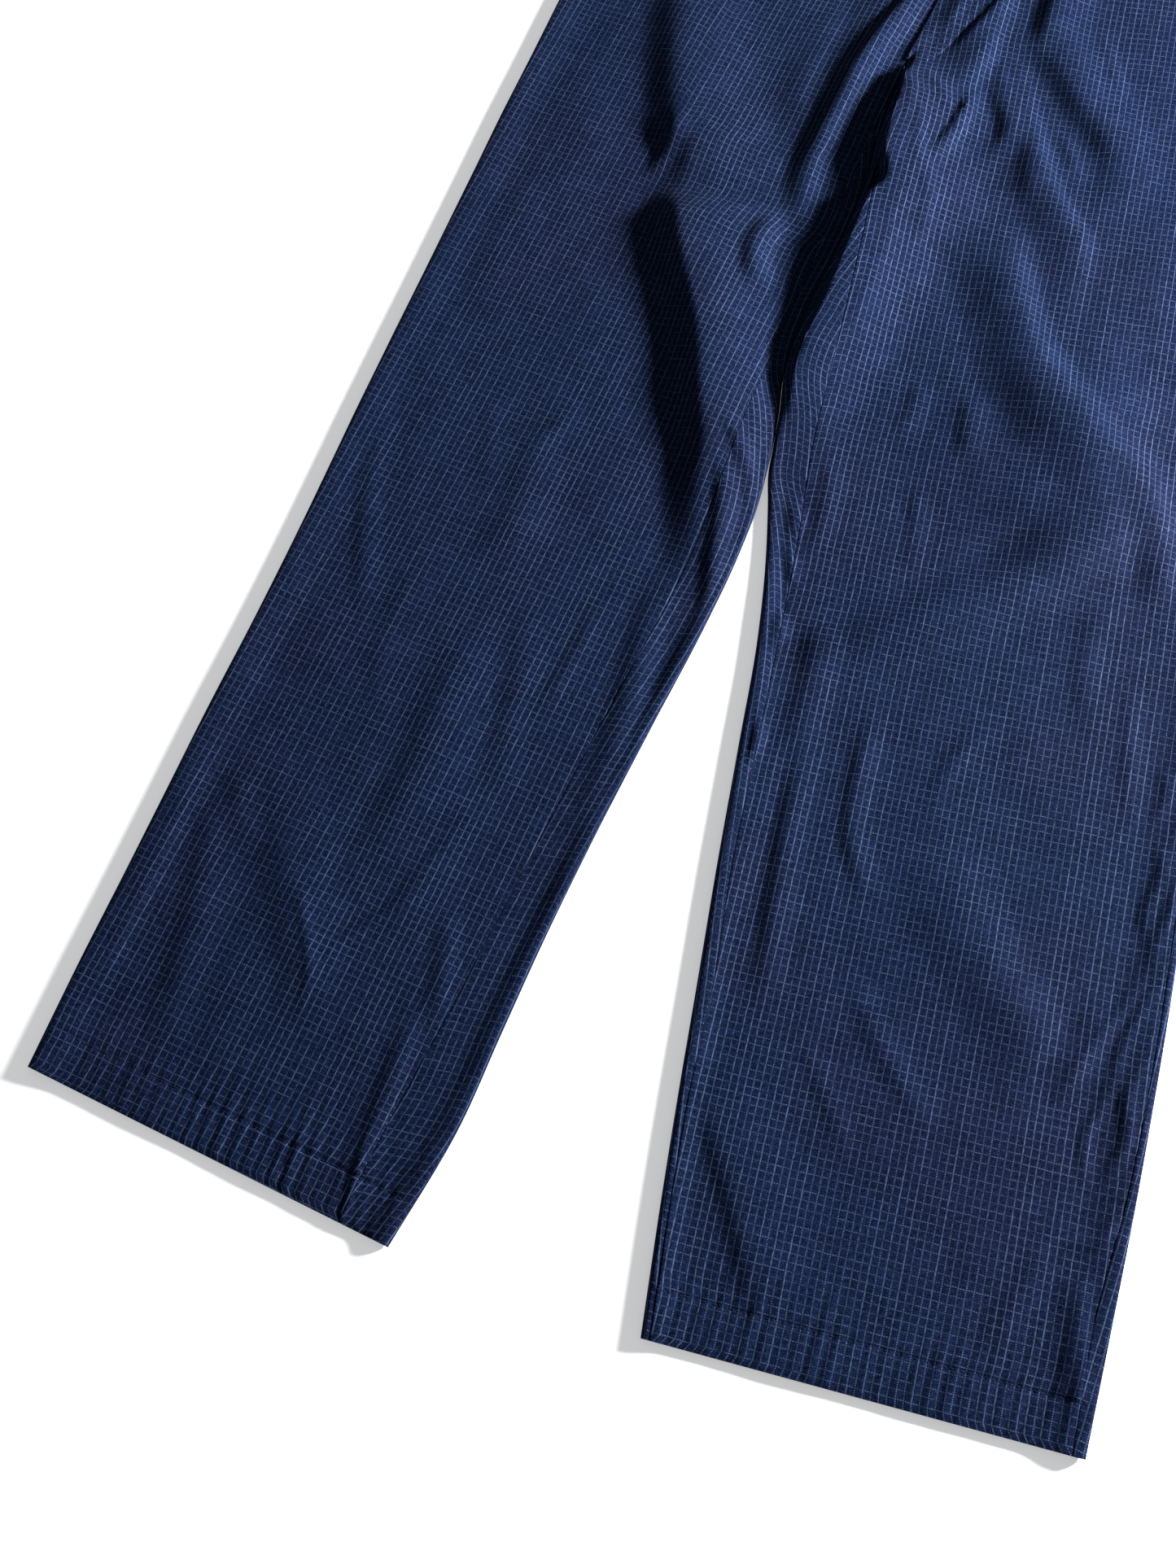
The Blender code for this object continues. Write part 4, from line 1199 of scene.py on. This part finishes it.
def band_stitches(side):
    """Stitches along both edges of the waistband and down its end."""
    inset = BAND_STITCH_INSET
    rows = (WAIST_Y + inset, WAIST_Y + BAND_HEIGHT - inset)

    def on_band(x, y):
        return laid(side, x, y, band_top(side, x, y) + STITCH_LIFT), UP

    lines = []
    for row in rows:
        outer = along(OUTLINE, SIDE_NAMES[side] + "_outer", row)
        outer = outer + inward(side) * (EDGE_RADIUS + LINE_CLEAR)
        end = along(CENTRE, "front", row) - OVERLAP_END
        end = end + (inset if side == LEFT else -BAND_STITCH_UNDER)
        x = np.linspace(end, outer, LINE_POINTS)
        lines.append(on_band(x, np.full_like(x, row)))
        x = np.linspace(back_seam(side, row, 2 * LINE_CLEAR), outer, PLAIN_LINE_POINTS)
        lines.append((laid(side, x, row, GROUND + STITCH_LIFT, "lower"), -UP))
    if side == LEFT:
        y = np.linspace(*rows, END_LINE_POINTS)
        lines.append(on_band(along(CENTRE, "front", y) - OVERLAP_END + inset, y))
    stitched("waistband_stitches_" + SIDE_NAMES[side], lines)


def buttonhole_stitches():
    """Close stitches round the buttonhole, which shows on both sides of the button."""
    place = button_place()
    middle = place.x + BUTTONHOLE_SHIFT * MM
    half = BUTTONHOLE_LENGTH / 2 * MM
    across = BUTTONHOLE_WIDTH / 2 * MM
    z = (BAND_TOP + OVERLAP_RISE + STITCH_RISE) * MM
    lines = []
    for i in range(BUTTONHOLE_STITCHES):
        t = 4.0 * i / BUTTONHOLE_STITCHES
        x, y = (-half + t * half, across) if t < 2 else (half - (t - 2) * half, -across)
        ends = [(middle + x, place.y + share * y, z) for share in (HOLE_STITCH_START, 1.0)]
        lines.append((np.array(ends), UP))
    step = HOLE_STITCH_FILL * (1 - HOLE_STITCH_START) * across
    stitched("buttonhole", lines, HOLE_THREAD * MM, step, fill=1.0)


def button_thread():
    """The thread through the button's holes, in two bars."""
    place = button_place()
    spread = HOLE_SPREAD * MM
    reach = BAR_REACH * spread
    top = place.z + BAR_LEVEL * BUTTON_HEIGHT * MM
    lines = []
    for bar in (-1, 1):
        for strand in BAR_STRANDS:
            y = place.y + bar * spread + strand * MM
            ends = [(place.x + way * reach, y, top) for way in (-1, 1)]
            lines.append((np.array(ends), UP))
    stitched("button_thread", lines, BAR_THREAD * MM, BAR_FILL * 2 * reach, fill=1.0)


class Value:
    """A socket of a material, so that an expression on values adds its Math nodes."""

    def __init__(self, tree, socket):
        self.tree = tree
        self.socket = socket

    def maths(self, operation, *others):
        node = self.tree.nodes.new("ShaderNodeMath")
        node.operation = operation
        for slot, value in zip(node.inputs, (self,) + others):
            feed(self.tree, slot, value)
        return Value(self.tree, node.outputs[0])

    def __add__(self, other):
        return self.maths("ADD", other)

    __radd__ = __add__

    def __mul__(self, other):
        return self.maths("MULTIPLY", other)

    __rmul__ = __mul__

    def __sub__(self, other):
        return self.maths("SUBTRACT", other)

    def __rsub__(self, other):
        return -self + other

    def __neg__(self):
        return self * -1.0

    def __abs__(self):
        return self.maths("ABSOLUTE")

    def __round__(self):
        return self.maths("ROUND")

    def __mod__(self, other):
        return self.maths("FLOORED_MODULO", other)

    def __lt__(self, other):
        return self.maths("LESS_THAN", other)

    def waves(self, count):
        """A cosine with this many waves for each step of one."""
        return (self * (2 * math.pi * count)).maths("COSINE")

    def larger(self, other):
        return self.maths("MAXIMUM", other)

    def smaller(self, other):
        return self.maths("MINIMUM", other)


def feed(tree, slot, value):
    """Links a value to a socket, or sets the socket to a number or a colour."""
    if isinstance(value, Value):
        tree.links.new(value.socket, slot)
    elif isinstance(value, (int, float)):
        slot.default_value = value
    else:
        value = tuple(value)
        slot.default_value = value + (1.0,) if slot.type == "RGBA" and len(value) == 3 else value


class Finish:
    """A material in the making: its shader and the one way to add nodes to it."""

    def __init__(self, name):
        self.material = bpy.data.materials.new(name)
        self.material.use_nodes = True
        self.tree = self.material.node_tree
        self.shader = self.tree.nodes["Principled BSDF"]

    def node(self, kind, settings=None, output=0, **values):
        node = self.tree.nodes.new(kind)
        for name, setting in (settings or {}).items():
            setattr(node, name, setting)
        for name, value in values.items():
            slot = next(s for s in node.inputs
                        if s.enabled and s.name.replace(" ", "_").lower() == name)
            feed(self.tree, slot, value)
        found = next((s for s in node.outputs if s.enabled and s.name == output), None)
        return Value(self.tree, found or node.outputs[output if isinstance(output, int) else 0])

    def set(self, **values):
        for name, value in values.items():
            slot = next(s for s in self.shader.inputs if s.name.replace(" ", "_").lower() == name)
            feed(self.tree, slot, value)

    def mix(self, factor, a, b):
        settings = {"data_type": "RGBA"}
        return self.node("ShaderNodeMix", settings, "Result", factor=factor, a=a, b=b)

    def point(self, x, y):
        return self.node("ShaderNodeCombineXYZ", x=x, y=y)

    def clouds(self, vector, scale, detail=2.0, roughness=0.5):
        """Soft noise from 0 to 1."""
        return self.node("ShaderNodeTexNoise", vector=vector, scale=scale, detail=detail,
                         roughness=roughness)

    def streaks(self, x, y, x_scale, y_scale, detail):
        """Soft noise with a scale of its own each way."""
        return self.clouds(self.point(x * x_scale, y * y_scale), 1.0, detail)

    def bump(self, height, strength, distance):
        """The surface's normal over a relief."""
        return self.node("ShaderNodeBump", strength=strength, distance=distance, height=height)

    def chance(self, number):
        """A number from 0 to 1 that is the same along each line of the check."""
        return self.node("ShaderNodeTexWhiteNoise", {"noise_dimensions": "1D"}, "Value", w=number)

    def ease(self, value, start, end, low=0.0, high=1.0):
        """A smooth ramp from low at start to high at end."""
        values = {"value": value, "from_min": start, "from_max": end, "to_min": low,
                  "to_max": high}
        return self.node("ShaderNodeMapRange", {"interpolation_type": "SMOOTHSTEP"}, 0, **values)


def ready(name, make):
    """The material called name, made once."""
    return bpy.data.materials.get(name) or make(name)


def level(value, least, added):
    """The least amount, with what a value adds to it."""
    return least + added * value


def tinted(dye, share):
    """A colour made lighter or darker."""
    return tuple(share * part for part in dye)


# Lines of the check: how far they stray from straight, in metres, and where they start to show
# and are full, in half widths
LINE_SWAY = 0.0008
WARP_EDGE = (2.4, 0.5)
WEFT_EDGE = (1.9, 0.3)

# Waves to one step of the check: beads of both ways, the warp lines that run through, the weave
WARP_BEADS = 4
WEFT_BEADS = 3
THROUGH_WAVES = 6
WEAVE_U = 10
WEAVE_V = 12

# Share of the warp lines that are beaded or plain out of turn, and the seeds of both chances
SWAPPED_LINES = 0.22
SWAP_SEED = 0.37
WEFT_SEED = 0.61

# Levels: the least amount, and what is added to it
BEAD_LEVEL = (0.15, 0.85)
THROUGH_LEVEL = (0.82, 0.18)
WEFT_LEVEL = (0.24, 0.62)
WEFT_LINE_LEVEL = (0.65, 0.35)
WEAVE_LEVEL = (0.5, 0.25)
CLOTH_ROUGHNESS = (0.66, 0.16)
BUTTON_ROUGHNESS = (0.26, 0.16)

# Ramps: start and end, and the values there where they aren't 0 and 1
WARP_BEAD_RAMP = (-0.2, 0.7)
WEFT_BEAD_RAMP = (-0.35, 0.65)
SLUB_RAMP = (0.32, 0.68, 0.35, 1.1)
WARP_FADE_RAMP = (0.28, 0.66, 0.66, 0.86)
WEFT_FADE_RAMP = (0.36, 0.64, 0.24, 0.98)
PLUM_RAMP = (0.42, 0.66)

# Soft noise: scale for each metre, detail and roughness
SWAY_NOISE = (150.0, 3.0, 0.6)
PATCH_NOISE = (45.0, 3.0, 0.55)
SPECK_NOISE = (330.0, 2.0, 0.6)
FLECK_NOISE = (760.0, 2.0, 0.6)
PLUM_NOISE = (6.0, 2.0)

# Streaks: scale each way, and detail. A line of the check has one step of the noise to itself.
SLUB_STREAKS = (2.3, 420.0, 2.0)
WARP_FADE_STREAKS = (3.7, 34.0, 3.0)
WEFT_FADE_STREAKS = (130.0, 5.3, 2.0)
WARP_STREAKS = (2600.0, 90.0, 1.0)
WEFT_STREAKS = (90.0, 2600.0, 1.0)

# Flecks lie aslant: shares of the place across and along in each of their own two ways
FLECK_SLANT = ((1.5, 0.9), (0.3, 0.9))

# How much of each goes into the ground, and the ground's middle
PATCH_SHARE = 0.7
SPECK_SHARE = 1.0
FLECK_SHARE = 3.6
STREAK_SHARE = 0.55
GROUND_MIDDLE = 0.43

# How much of each goes into the relief; a bump's strength and depth; the cloth's low sheen
WEAVE_RELIEF = 0.5
WARP_RELIEF = 0.5
WEFT_RELIEF = 0.4
SPECK_RELIEF = 0.5
CLOTH_BUMP = (0.5, 0.00012)
CLOTH_SHEEN = {
    "specular_ior_level": 0.02,
    "sheen_weight": 0.012,
    "sheen_roughness": 0.45,
    "sheen_tint": (0.30, 0.40, 0.85),
}

# Sewing thread
TWIST = {"scale": 900.0, "distortion": 1.5}
TWIST_SHARE = 0.5
FUZZ_SCALE = 2200.0
FUZZ_SHARE = 0.4
THREAD_LIGHT = 1.6
THREAD_BUMP = (0.5, 0.0001)
THREAD_SHEEN = {"roughness": 0.7, "sheen_weight": 0.03, "specular_ior_level": 0.06}

# The button's plastic: noise as scale and detail
PLASTIC_CLOUDS = (260.0, 4.0)
PLASTIC_SCRATCHES = (1800.0, 3.0)
PLASTIC_LIGHT = 2.0
PLASTIC_BUMP = (0.15, 0.0001)
PLASTIC_SHINE = 0.5


def cloth_material():
    return ready("navy check cloth", make_check_cloth)


def make_check_cloth(name):
    """Navy plain weave with thin pale warp and weft threads that draw a broken check."""
    size = sizes()
    dyes = colours()
    cloth = Finish(name)
    here = cloth.node("ShaderNodeUVMap", {"uv_map": "cloth"})
    u, v = (cloth.node("ShaderNodeSeparateXYZ", None, axis, vector=here) for axis in "XY")
    on_cloth = cloth.point(u, v)
    u = u + (cloth.clouds(on_cloth, *SWAY_NOISE) - 0.5) * LINE_SWAY
    v = v + (cloth.clouds(cloth.point(v, u), *SWAY_NOISE) - 0.5) * LINE_SWAY
    warp_at = u * (1.0 / size.warp_pitch)
    weft_at = v * (1.0 / size.weft_pitch)
    warp_line = round(warp_at)
    weft_line = round(weft_at)
    warp_away = abs(warp_at - warp_line) * size.warp_pitch
    weft_away = abs(weft_at - weft_line) * size.weft_pitch
    half = size.line_width / 2
    on_warp = cloth.ease(warp_away, *(half * edge for edge in WARP_EDGE))
    on_weft = cloth.ease(weft_away, *(half * edge for edge in WEFT_EDGE))

    # Every other warp line is beaded and the rest run through, with a few exceptions
    swapped = cloth.chance(warp_line + SWAP_SEED) < SWAPPED_LINES
    beaded = abs((warp_line % 2.0) - swapped)
    beads = cloth.ease(weft_at.waves(WARP_BEADS), *WARP_BEAD_RAMP)
    through = level(weft_at.waves(THROUGH_WAVES), *THROUGH_LEVEL)
    warp_form = beaded * level(beads, *BEAD_LEVEL) + (1 - beaded) * through
    slubs = cloth.streaks(warp_line, v, *SLUB_STREAKS)
    warp_fade = cloth.streaks(warp_line, v, *WARP_FADE_STREAKS)
    warp_form = warp_form * cloth.ease(slubs, *SLUB_RAMP)
    warp_shine = on_warp * warp_form * cloth.ease(warp_fade, *WARP_FADE_RAMP)

    weft_beads = cloth.ease(warp_at.waves(WEFT_BEADS), *WEFT_BEAD_RAMP)
    weft_fade = cloth.streaks(u, weft_line, *WEFT_FADE_STREAKS)
    weft_form = level(weft_beads, *WEFT_LEVEL)
    weft_shine = on_weft * weft_form * cloth.ease(weft_fade, *WEFT_FADE_RAMP)
    weft_shine = weft_shine * level(cloth.chance(weft_line + WEFT_SEED), *WEFT_LINE_LEVEL)

    # Mottled ground: patches, specks, flecks, and streaks of single threads
    patches = cloth.clouds(on_cloth, *PATCH_NOISE)
    specks = cloth.clouds(on_cloth, *SPECK_NOISE)
    (across_u, across_v), (along_u, along_v) = FLECK_SLANT
    slanted = cloth.point(u * across_u + v * across_v, v * along_v - u * along_u)
    flecks = cloth.clouds(slanted, *FLECK_NOISE)
    streaks = cloth.streaks(u, v, *WARP_STREAKS) + cloth.streaks(u, v, *WEFT_STREAKS)
    ground = ((patches - 0.5) * PATCH_SHARE + (specks - 0.5) * SPECK_SHARE
              + (flecks - 0.5) * FLECK_SHARE + (streaks - 1.0) * STREAK_SHARE + GROUND_MIDDLE)
    ground = ground.larger(0.0).smaller(1.0)
    turned = cloth.ease(cloth.clouds(on_cloth, *PLUM_NOISE), *PLUM_RAMP)
    base = cloth.mix(ground, dyes.deep_navy, cloth.mix(turned, dyes.navy, dyes.plum))
    lines = warp_shine.larger(weft_shine).smaller(1.0)

    threads = u.waves(WEAVE_U / size.warp_pitch) + v.waves(WEAVE_V / size.weft_pitch)
    weave = level(threads, *WEAVE_LEVEL)
    relief = (weave * WEAVE_RELIEF + warp_shine * WARP_RELIEF + weft_shine * WEFT_RELIEF
              + specks * SPECK_RELIEF)
    cloth.set(base_color=cloth.mix(lines, base, dyes.pale),
              normal=cloth.bump(relief, *CLOTH_BUMP),
              roughness=level(specks, *CLOTH_ROUGHNESS), **CLOTH_SHEEN)
    return cloth.material


def thread_material():
    return ready("navy sewing thread", make_thread)


def make_thread(name):
    """Twisted sewing thread."""
    thread = Finish(name)
    dye = colours().sewing
    place = thread.node("ShaderNodeTexCoord", None, "Object")
    twist = thread.node("ShaderNodeTexWave", {"bands_direction": "DIAGONAL"}, "Fac",
                        vector=place, **TWIST)
    tone = twist * TWIST_SHARE + thread.clouds(place, FUZZ_SCALE) * FUZZ_SHARE
    thread.set(base_color=thread.mix(tone, dye, tinted(dye, THREAD_LIGHT)),
               normal=thread.bump(twist, *THREAD_BUMP), **THREAD_SHEEN)
    return thread.material


def button_material():
    return ready("dark button plastic", make_button_plastic)


def make_button_plastic(name):
    """Dark cast plastic with faint clouds and fine scratches."""
    plastic = Finish(name)
    dye = colours().button
    place = plastic.node("ShaderNodeTexCoord", None, "Object")
    clouds = plastic.clouds(place, *PLASTIC_CLOUDS)
    scratches = plastic.clouds(place, *PLASTIC_SCRATCHES)
    plastic.set(base_color=plastic.mix(clouds, dye, tinted(dye, PLASTIC_LIGHT)),
                normal=plastic.bump(scratches, *PLASTIC_BUMP),
                roughness=level(scratches, *BUTTON_ROUGHNESS),
                specular_ior_level=PLASTIC_SHINE)
    return plastic.material


# The photograph's point of view: where the camera stands, and which way is right and up for it
CAMERA_PLACE = (0.09533, -0.58769, 0.84061)
CAMERA_RIGHT = (0.94926, 0.31027, -0.05150)
CAMERA_UP = (-0.27104, 0.89007, 0.36650)
CAMERA_LENS = 36.81
CAMERA_SENSOR = 36.0
CAMERA_NEAREST = 0.01
FLOOR_SIZE = 12.0
FLOOR_LEVEL = -0.0002
FLOOR_SHADE = 0.97
FLOOR_GRAIN = (4.0, 4.0)
FLOOR_LOOK = {
    "roughness": 0.9,
    "specular_ior_level": 0.1,
    "emission_color": (1.0, 1.0, 1.0),
    "emission_strength": 0.4,
}
KEY_AZIMUTH = 15.0
KEY_ELEVATION = 24.0
KEY_AIM = (0.16, 0.16, 0.0)
KEY_DISTANCE = 1.28
KEY_SIZE = 0.3
KEY_POWER = 144.0
KEY_COLOUR = (1.0, 0.985, 0.96)
SKY_COLOUR = (0.93, 0.96, 1.0, 1.0)
SKY_STRENGTH = 0.2


def lay_floor():
    """A wide pale sheet under the pants."""
    bpy.ops.object.select_all(action="DESELECT")
    bpy.ops.mesh.primitive_plane_add(size=FLOOR_SIZE, location=(0, 0, FLOOR_LEVEL))
    floor = bpy.context.object
    floor.name = "floor"
    settle_in_place(floor)
    finish = Finish("pale floor")
    place = finish.node("ShaderNodeTexCoord", None, "Object")
    dye = colours().floor
    grain = finish.clouds(place, *FLOOR_GRAIN)
    # A lit table: it glows a little, so that the shadows on it stay light
    finish.set(base_color=finish.mix(grain, tinted(dye, FLOOR_SHADE), dye), **FLOOR_LOOK)
    floor.data.materials.append(finish.material)
    floor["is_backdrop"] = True


def set_lights():
    """A soft key light from the wearer's left, low over the cloth, under an even pale sky."""
    around = math.radians(KEY_AZIMUTH)
    rise = math.radians(KEY_ELEVATION)
    level = math.cos(rise)
    way = Vector((level * math.cos(around), level * math.sin(around), math.sin(rise)))
    lamp = bpy.data.lights.new("key light", "AREA")
    lamp.shape = "DISK"
    lamp.size = KEY_SIZE
    lamp.energy = KEY_POWER
    lamp.color = KEY_COLOUR
    key = bpy.data.objects.new("key light", lamp)
    key.location = Vector(KEY_AIM) + way * KEY_DISTANCE
    key.rotation_euler = way.to_track_quat("Z", "Y").to_euler()
    bpy.context.scene.collection.objects.link(key)
    sky = bpy.data.worlds.new("pale sky")
    sky.use_nodes = True
    light = sky.node_tree.nodes["Background"]
    light.inputs["Color"].default_value = SKY_COLOUR
    light.inputs["Strength"].default_value = SKY_STRENGTH
    bpy.context.scene.world = sky


def place_camera():
    """The camera at the photograph's angle to the pants."""
    right = Vector(CAMERA_RIGHT).normalized()
    up = Vector(CAMERA_UP)
    up = (up - right * up.dot(right)).normalized()
    back = right.cross(up)
    turn = Matrix((right, up, back)).transposed().to_4x4()
    data = bpy.data.cameras.new("camera")
    data.lens = CAMERA_LENS
    data.sensor_width = CAMERA_SENSOR
    data.clip_start = CAMERA_NEAREST
    camera = bpy.data.objects.new("camera", data)
    camera.matrix_world = Matrix.Translation(CAMERA_PLACE) @ turn
    bpy.context.scene.collection.objects.link(camera)
    bpy.context.scene.camera = camera
    bpy.context.scene.view_settings.view_transform = "Standard"


class PANTS_OT_stage(bpy.types.Operator):
    """Lay the floor, set the lights and place the camera"""

    bl_idname = "pants.stage"
    bl_label = "Stage"

    def execute(self, context):
        lay_floor()
        set_lights()
        place_camera()
        return {"FINISHED"}


class PANTS_OT_back_panels(bpy.types.Operator):
    """Build both back panels, which lie on the floor and turn up round the edges"""

    bl_idname = "pants.back_panels"
    bl_label = "Back panels"

    def execute(self, context):
        for side in (RIGHT, LEFT):
            back_panel(side)
        return {"FINISHED"}


class PANTS_OT_front_panels(bpy.types.Operator):
    """Build both front panels with their folds and creases"""

    bl_idname = "pants.front_panels"
    bl_label = "Front panels"

    def execute(self, context):
        for side in (RIGHT, LEFT):
            front_panel(side)
        return {"FINISHED"}


class PANTS_OT_waistband(bpy.types.Operator):
    """Build both halves of the waistband"""

    bl_idname = "pants.waistband"
    bl_label = "Waistband"

    def execute(self, context):
        for side in (RIGHT, LEFT):
            band_half(side)
        return {"FINISHED"}


class PANTS_OT_fly(bpy.types.Operator):
    """Build the fly on the left front"""

    bl_idname = "pants.fly"
    bl_label = "Fly"

    def execute(self, context):
        fly_strip()
        return {"FINISHED"}


class PANTS_OT_button(bpy.types.Operator):
    """Build the button, its thread and its buttonhole"""

    bl_idname = "pants.button"
    bl_label = "Button"

    def execute(self, context):
        button_disc(button_place())
        button_thread()
        buttonhole_stitches()
        return {"FINISHED"}


class PANTS_OT_stitching(bpy.types.Operator):
    """Sew the hems, the fly and the waistband"""

    bl_idname = "pants.stitching"
    bl_label = "Stitching"

    def execute(self, context):
        for side in (RIGHT, LEFT):
            hem_stitches(side)
            band_stitches(side)
        fly_stitches()
        return {"FINISHED"}


OPERATORS = (
    PANTS_OT_stage,
    PANTS_OT_back_panels,
    PANTS_OT_front_panels,
    PANTS_OT_waistband,
    PANTS_OT_fly,
    PANTS_OT_button,
    PANTS_OT_stitching,
)


class PANTS_PT_sidebar(bpy.types.Panel):
    """Lists the pieces of the pants and their sizes and colours"""

    bl_idname = "PANTS_PT_sidebar"
    bl_label = "Work pants"
    bl_space_type = "VIEW_3D"
    bl_region_type = "UI"
    bl_category = "Pants"

    def draw(self, context):
        for group in (context.scene.pants_sizes, context.scene.pants_colours):
            box = self.layout.box()
            for name in group.bl_rna.properties.keys():
                if name not in ("rna_type", "name"):
                    box.prop(group, name)
        for operator in OPERATORS:
            self.layout.operator(operator.bl_idname)


CLASSES = (PantsSizes, PantsColours) + OPERATORS + (PANTS_PT_sidebar,)


def register():
    for made in CLASSES:
        bpy.utils.register_class(made)
    bpy.types.Scene.pants_sizes = bpy.props.PointerProperty(type=PantsSizes)
    bpy.types.Scene.pants_colours = bpy.props.PointerProperty(type=PantsColours)


def unregister():
    del bpy.types.Scene.pants_colours
    del bpy.types.Scene.pants_sizes
    for made in reversed(CLASSES):
        bpy.utils.unregister_class(made)


def main():
    register()
    bpy.ops.pants.stage()
    bpy.ops.pants.back_panels()
    bpy.ops.pants.front_panels()
    bpy.ops.pants.waistband()
    bpy.ops.pants.fly()
    bpy.ops.pants.button()
    bpy.ops.pants.stitching()
    visual_box = [list(corner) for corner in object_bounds()]
    {"cad": CAD_BOX, "visual": visual_box}


if __name__ == "__main__":
    main()
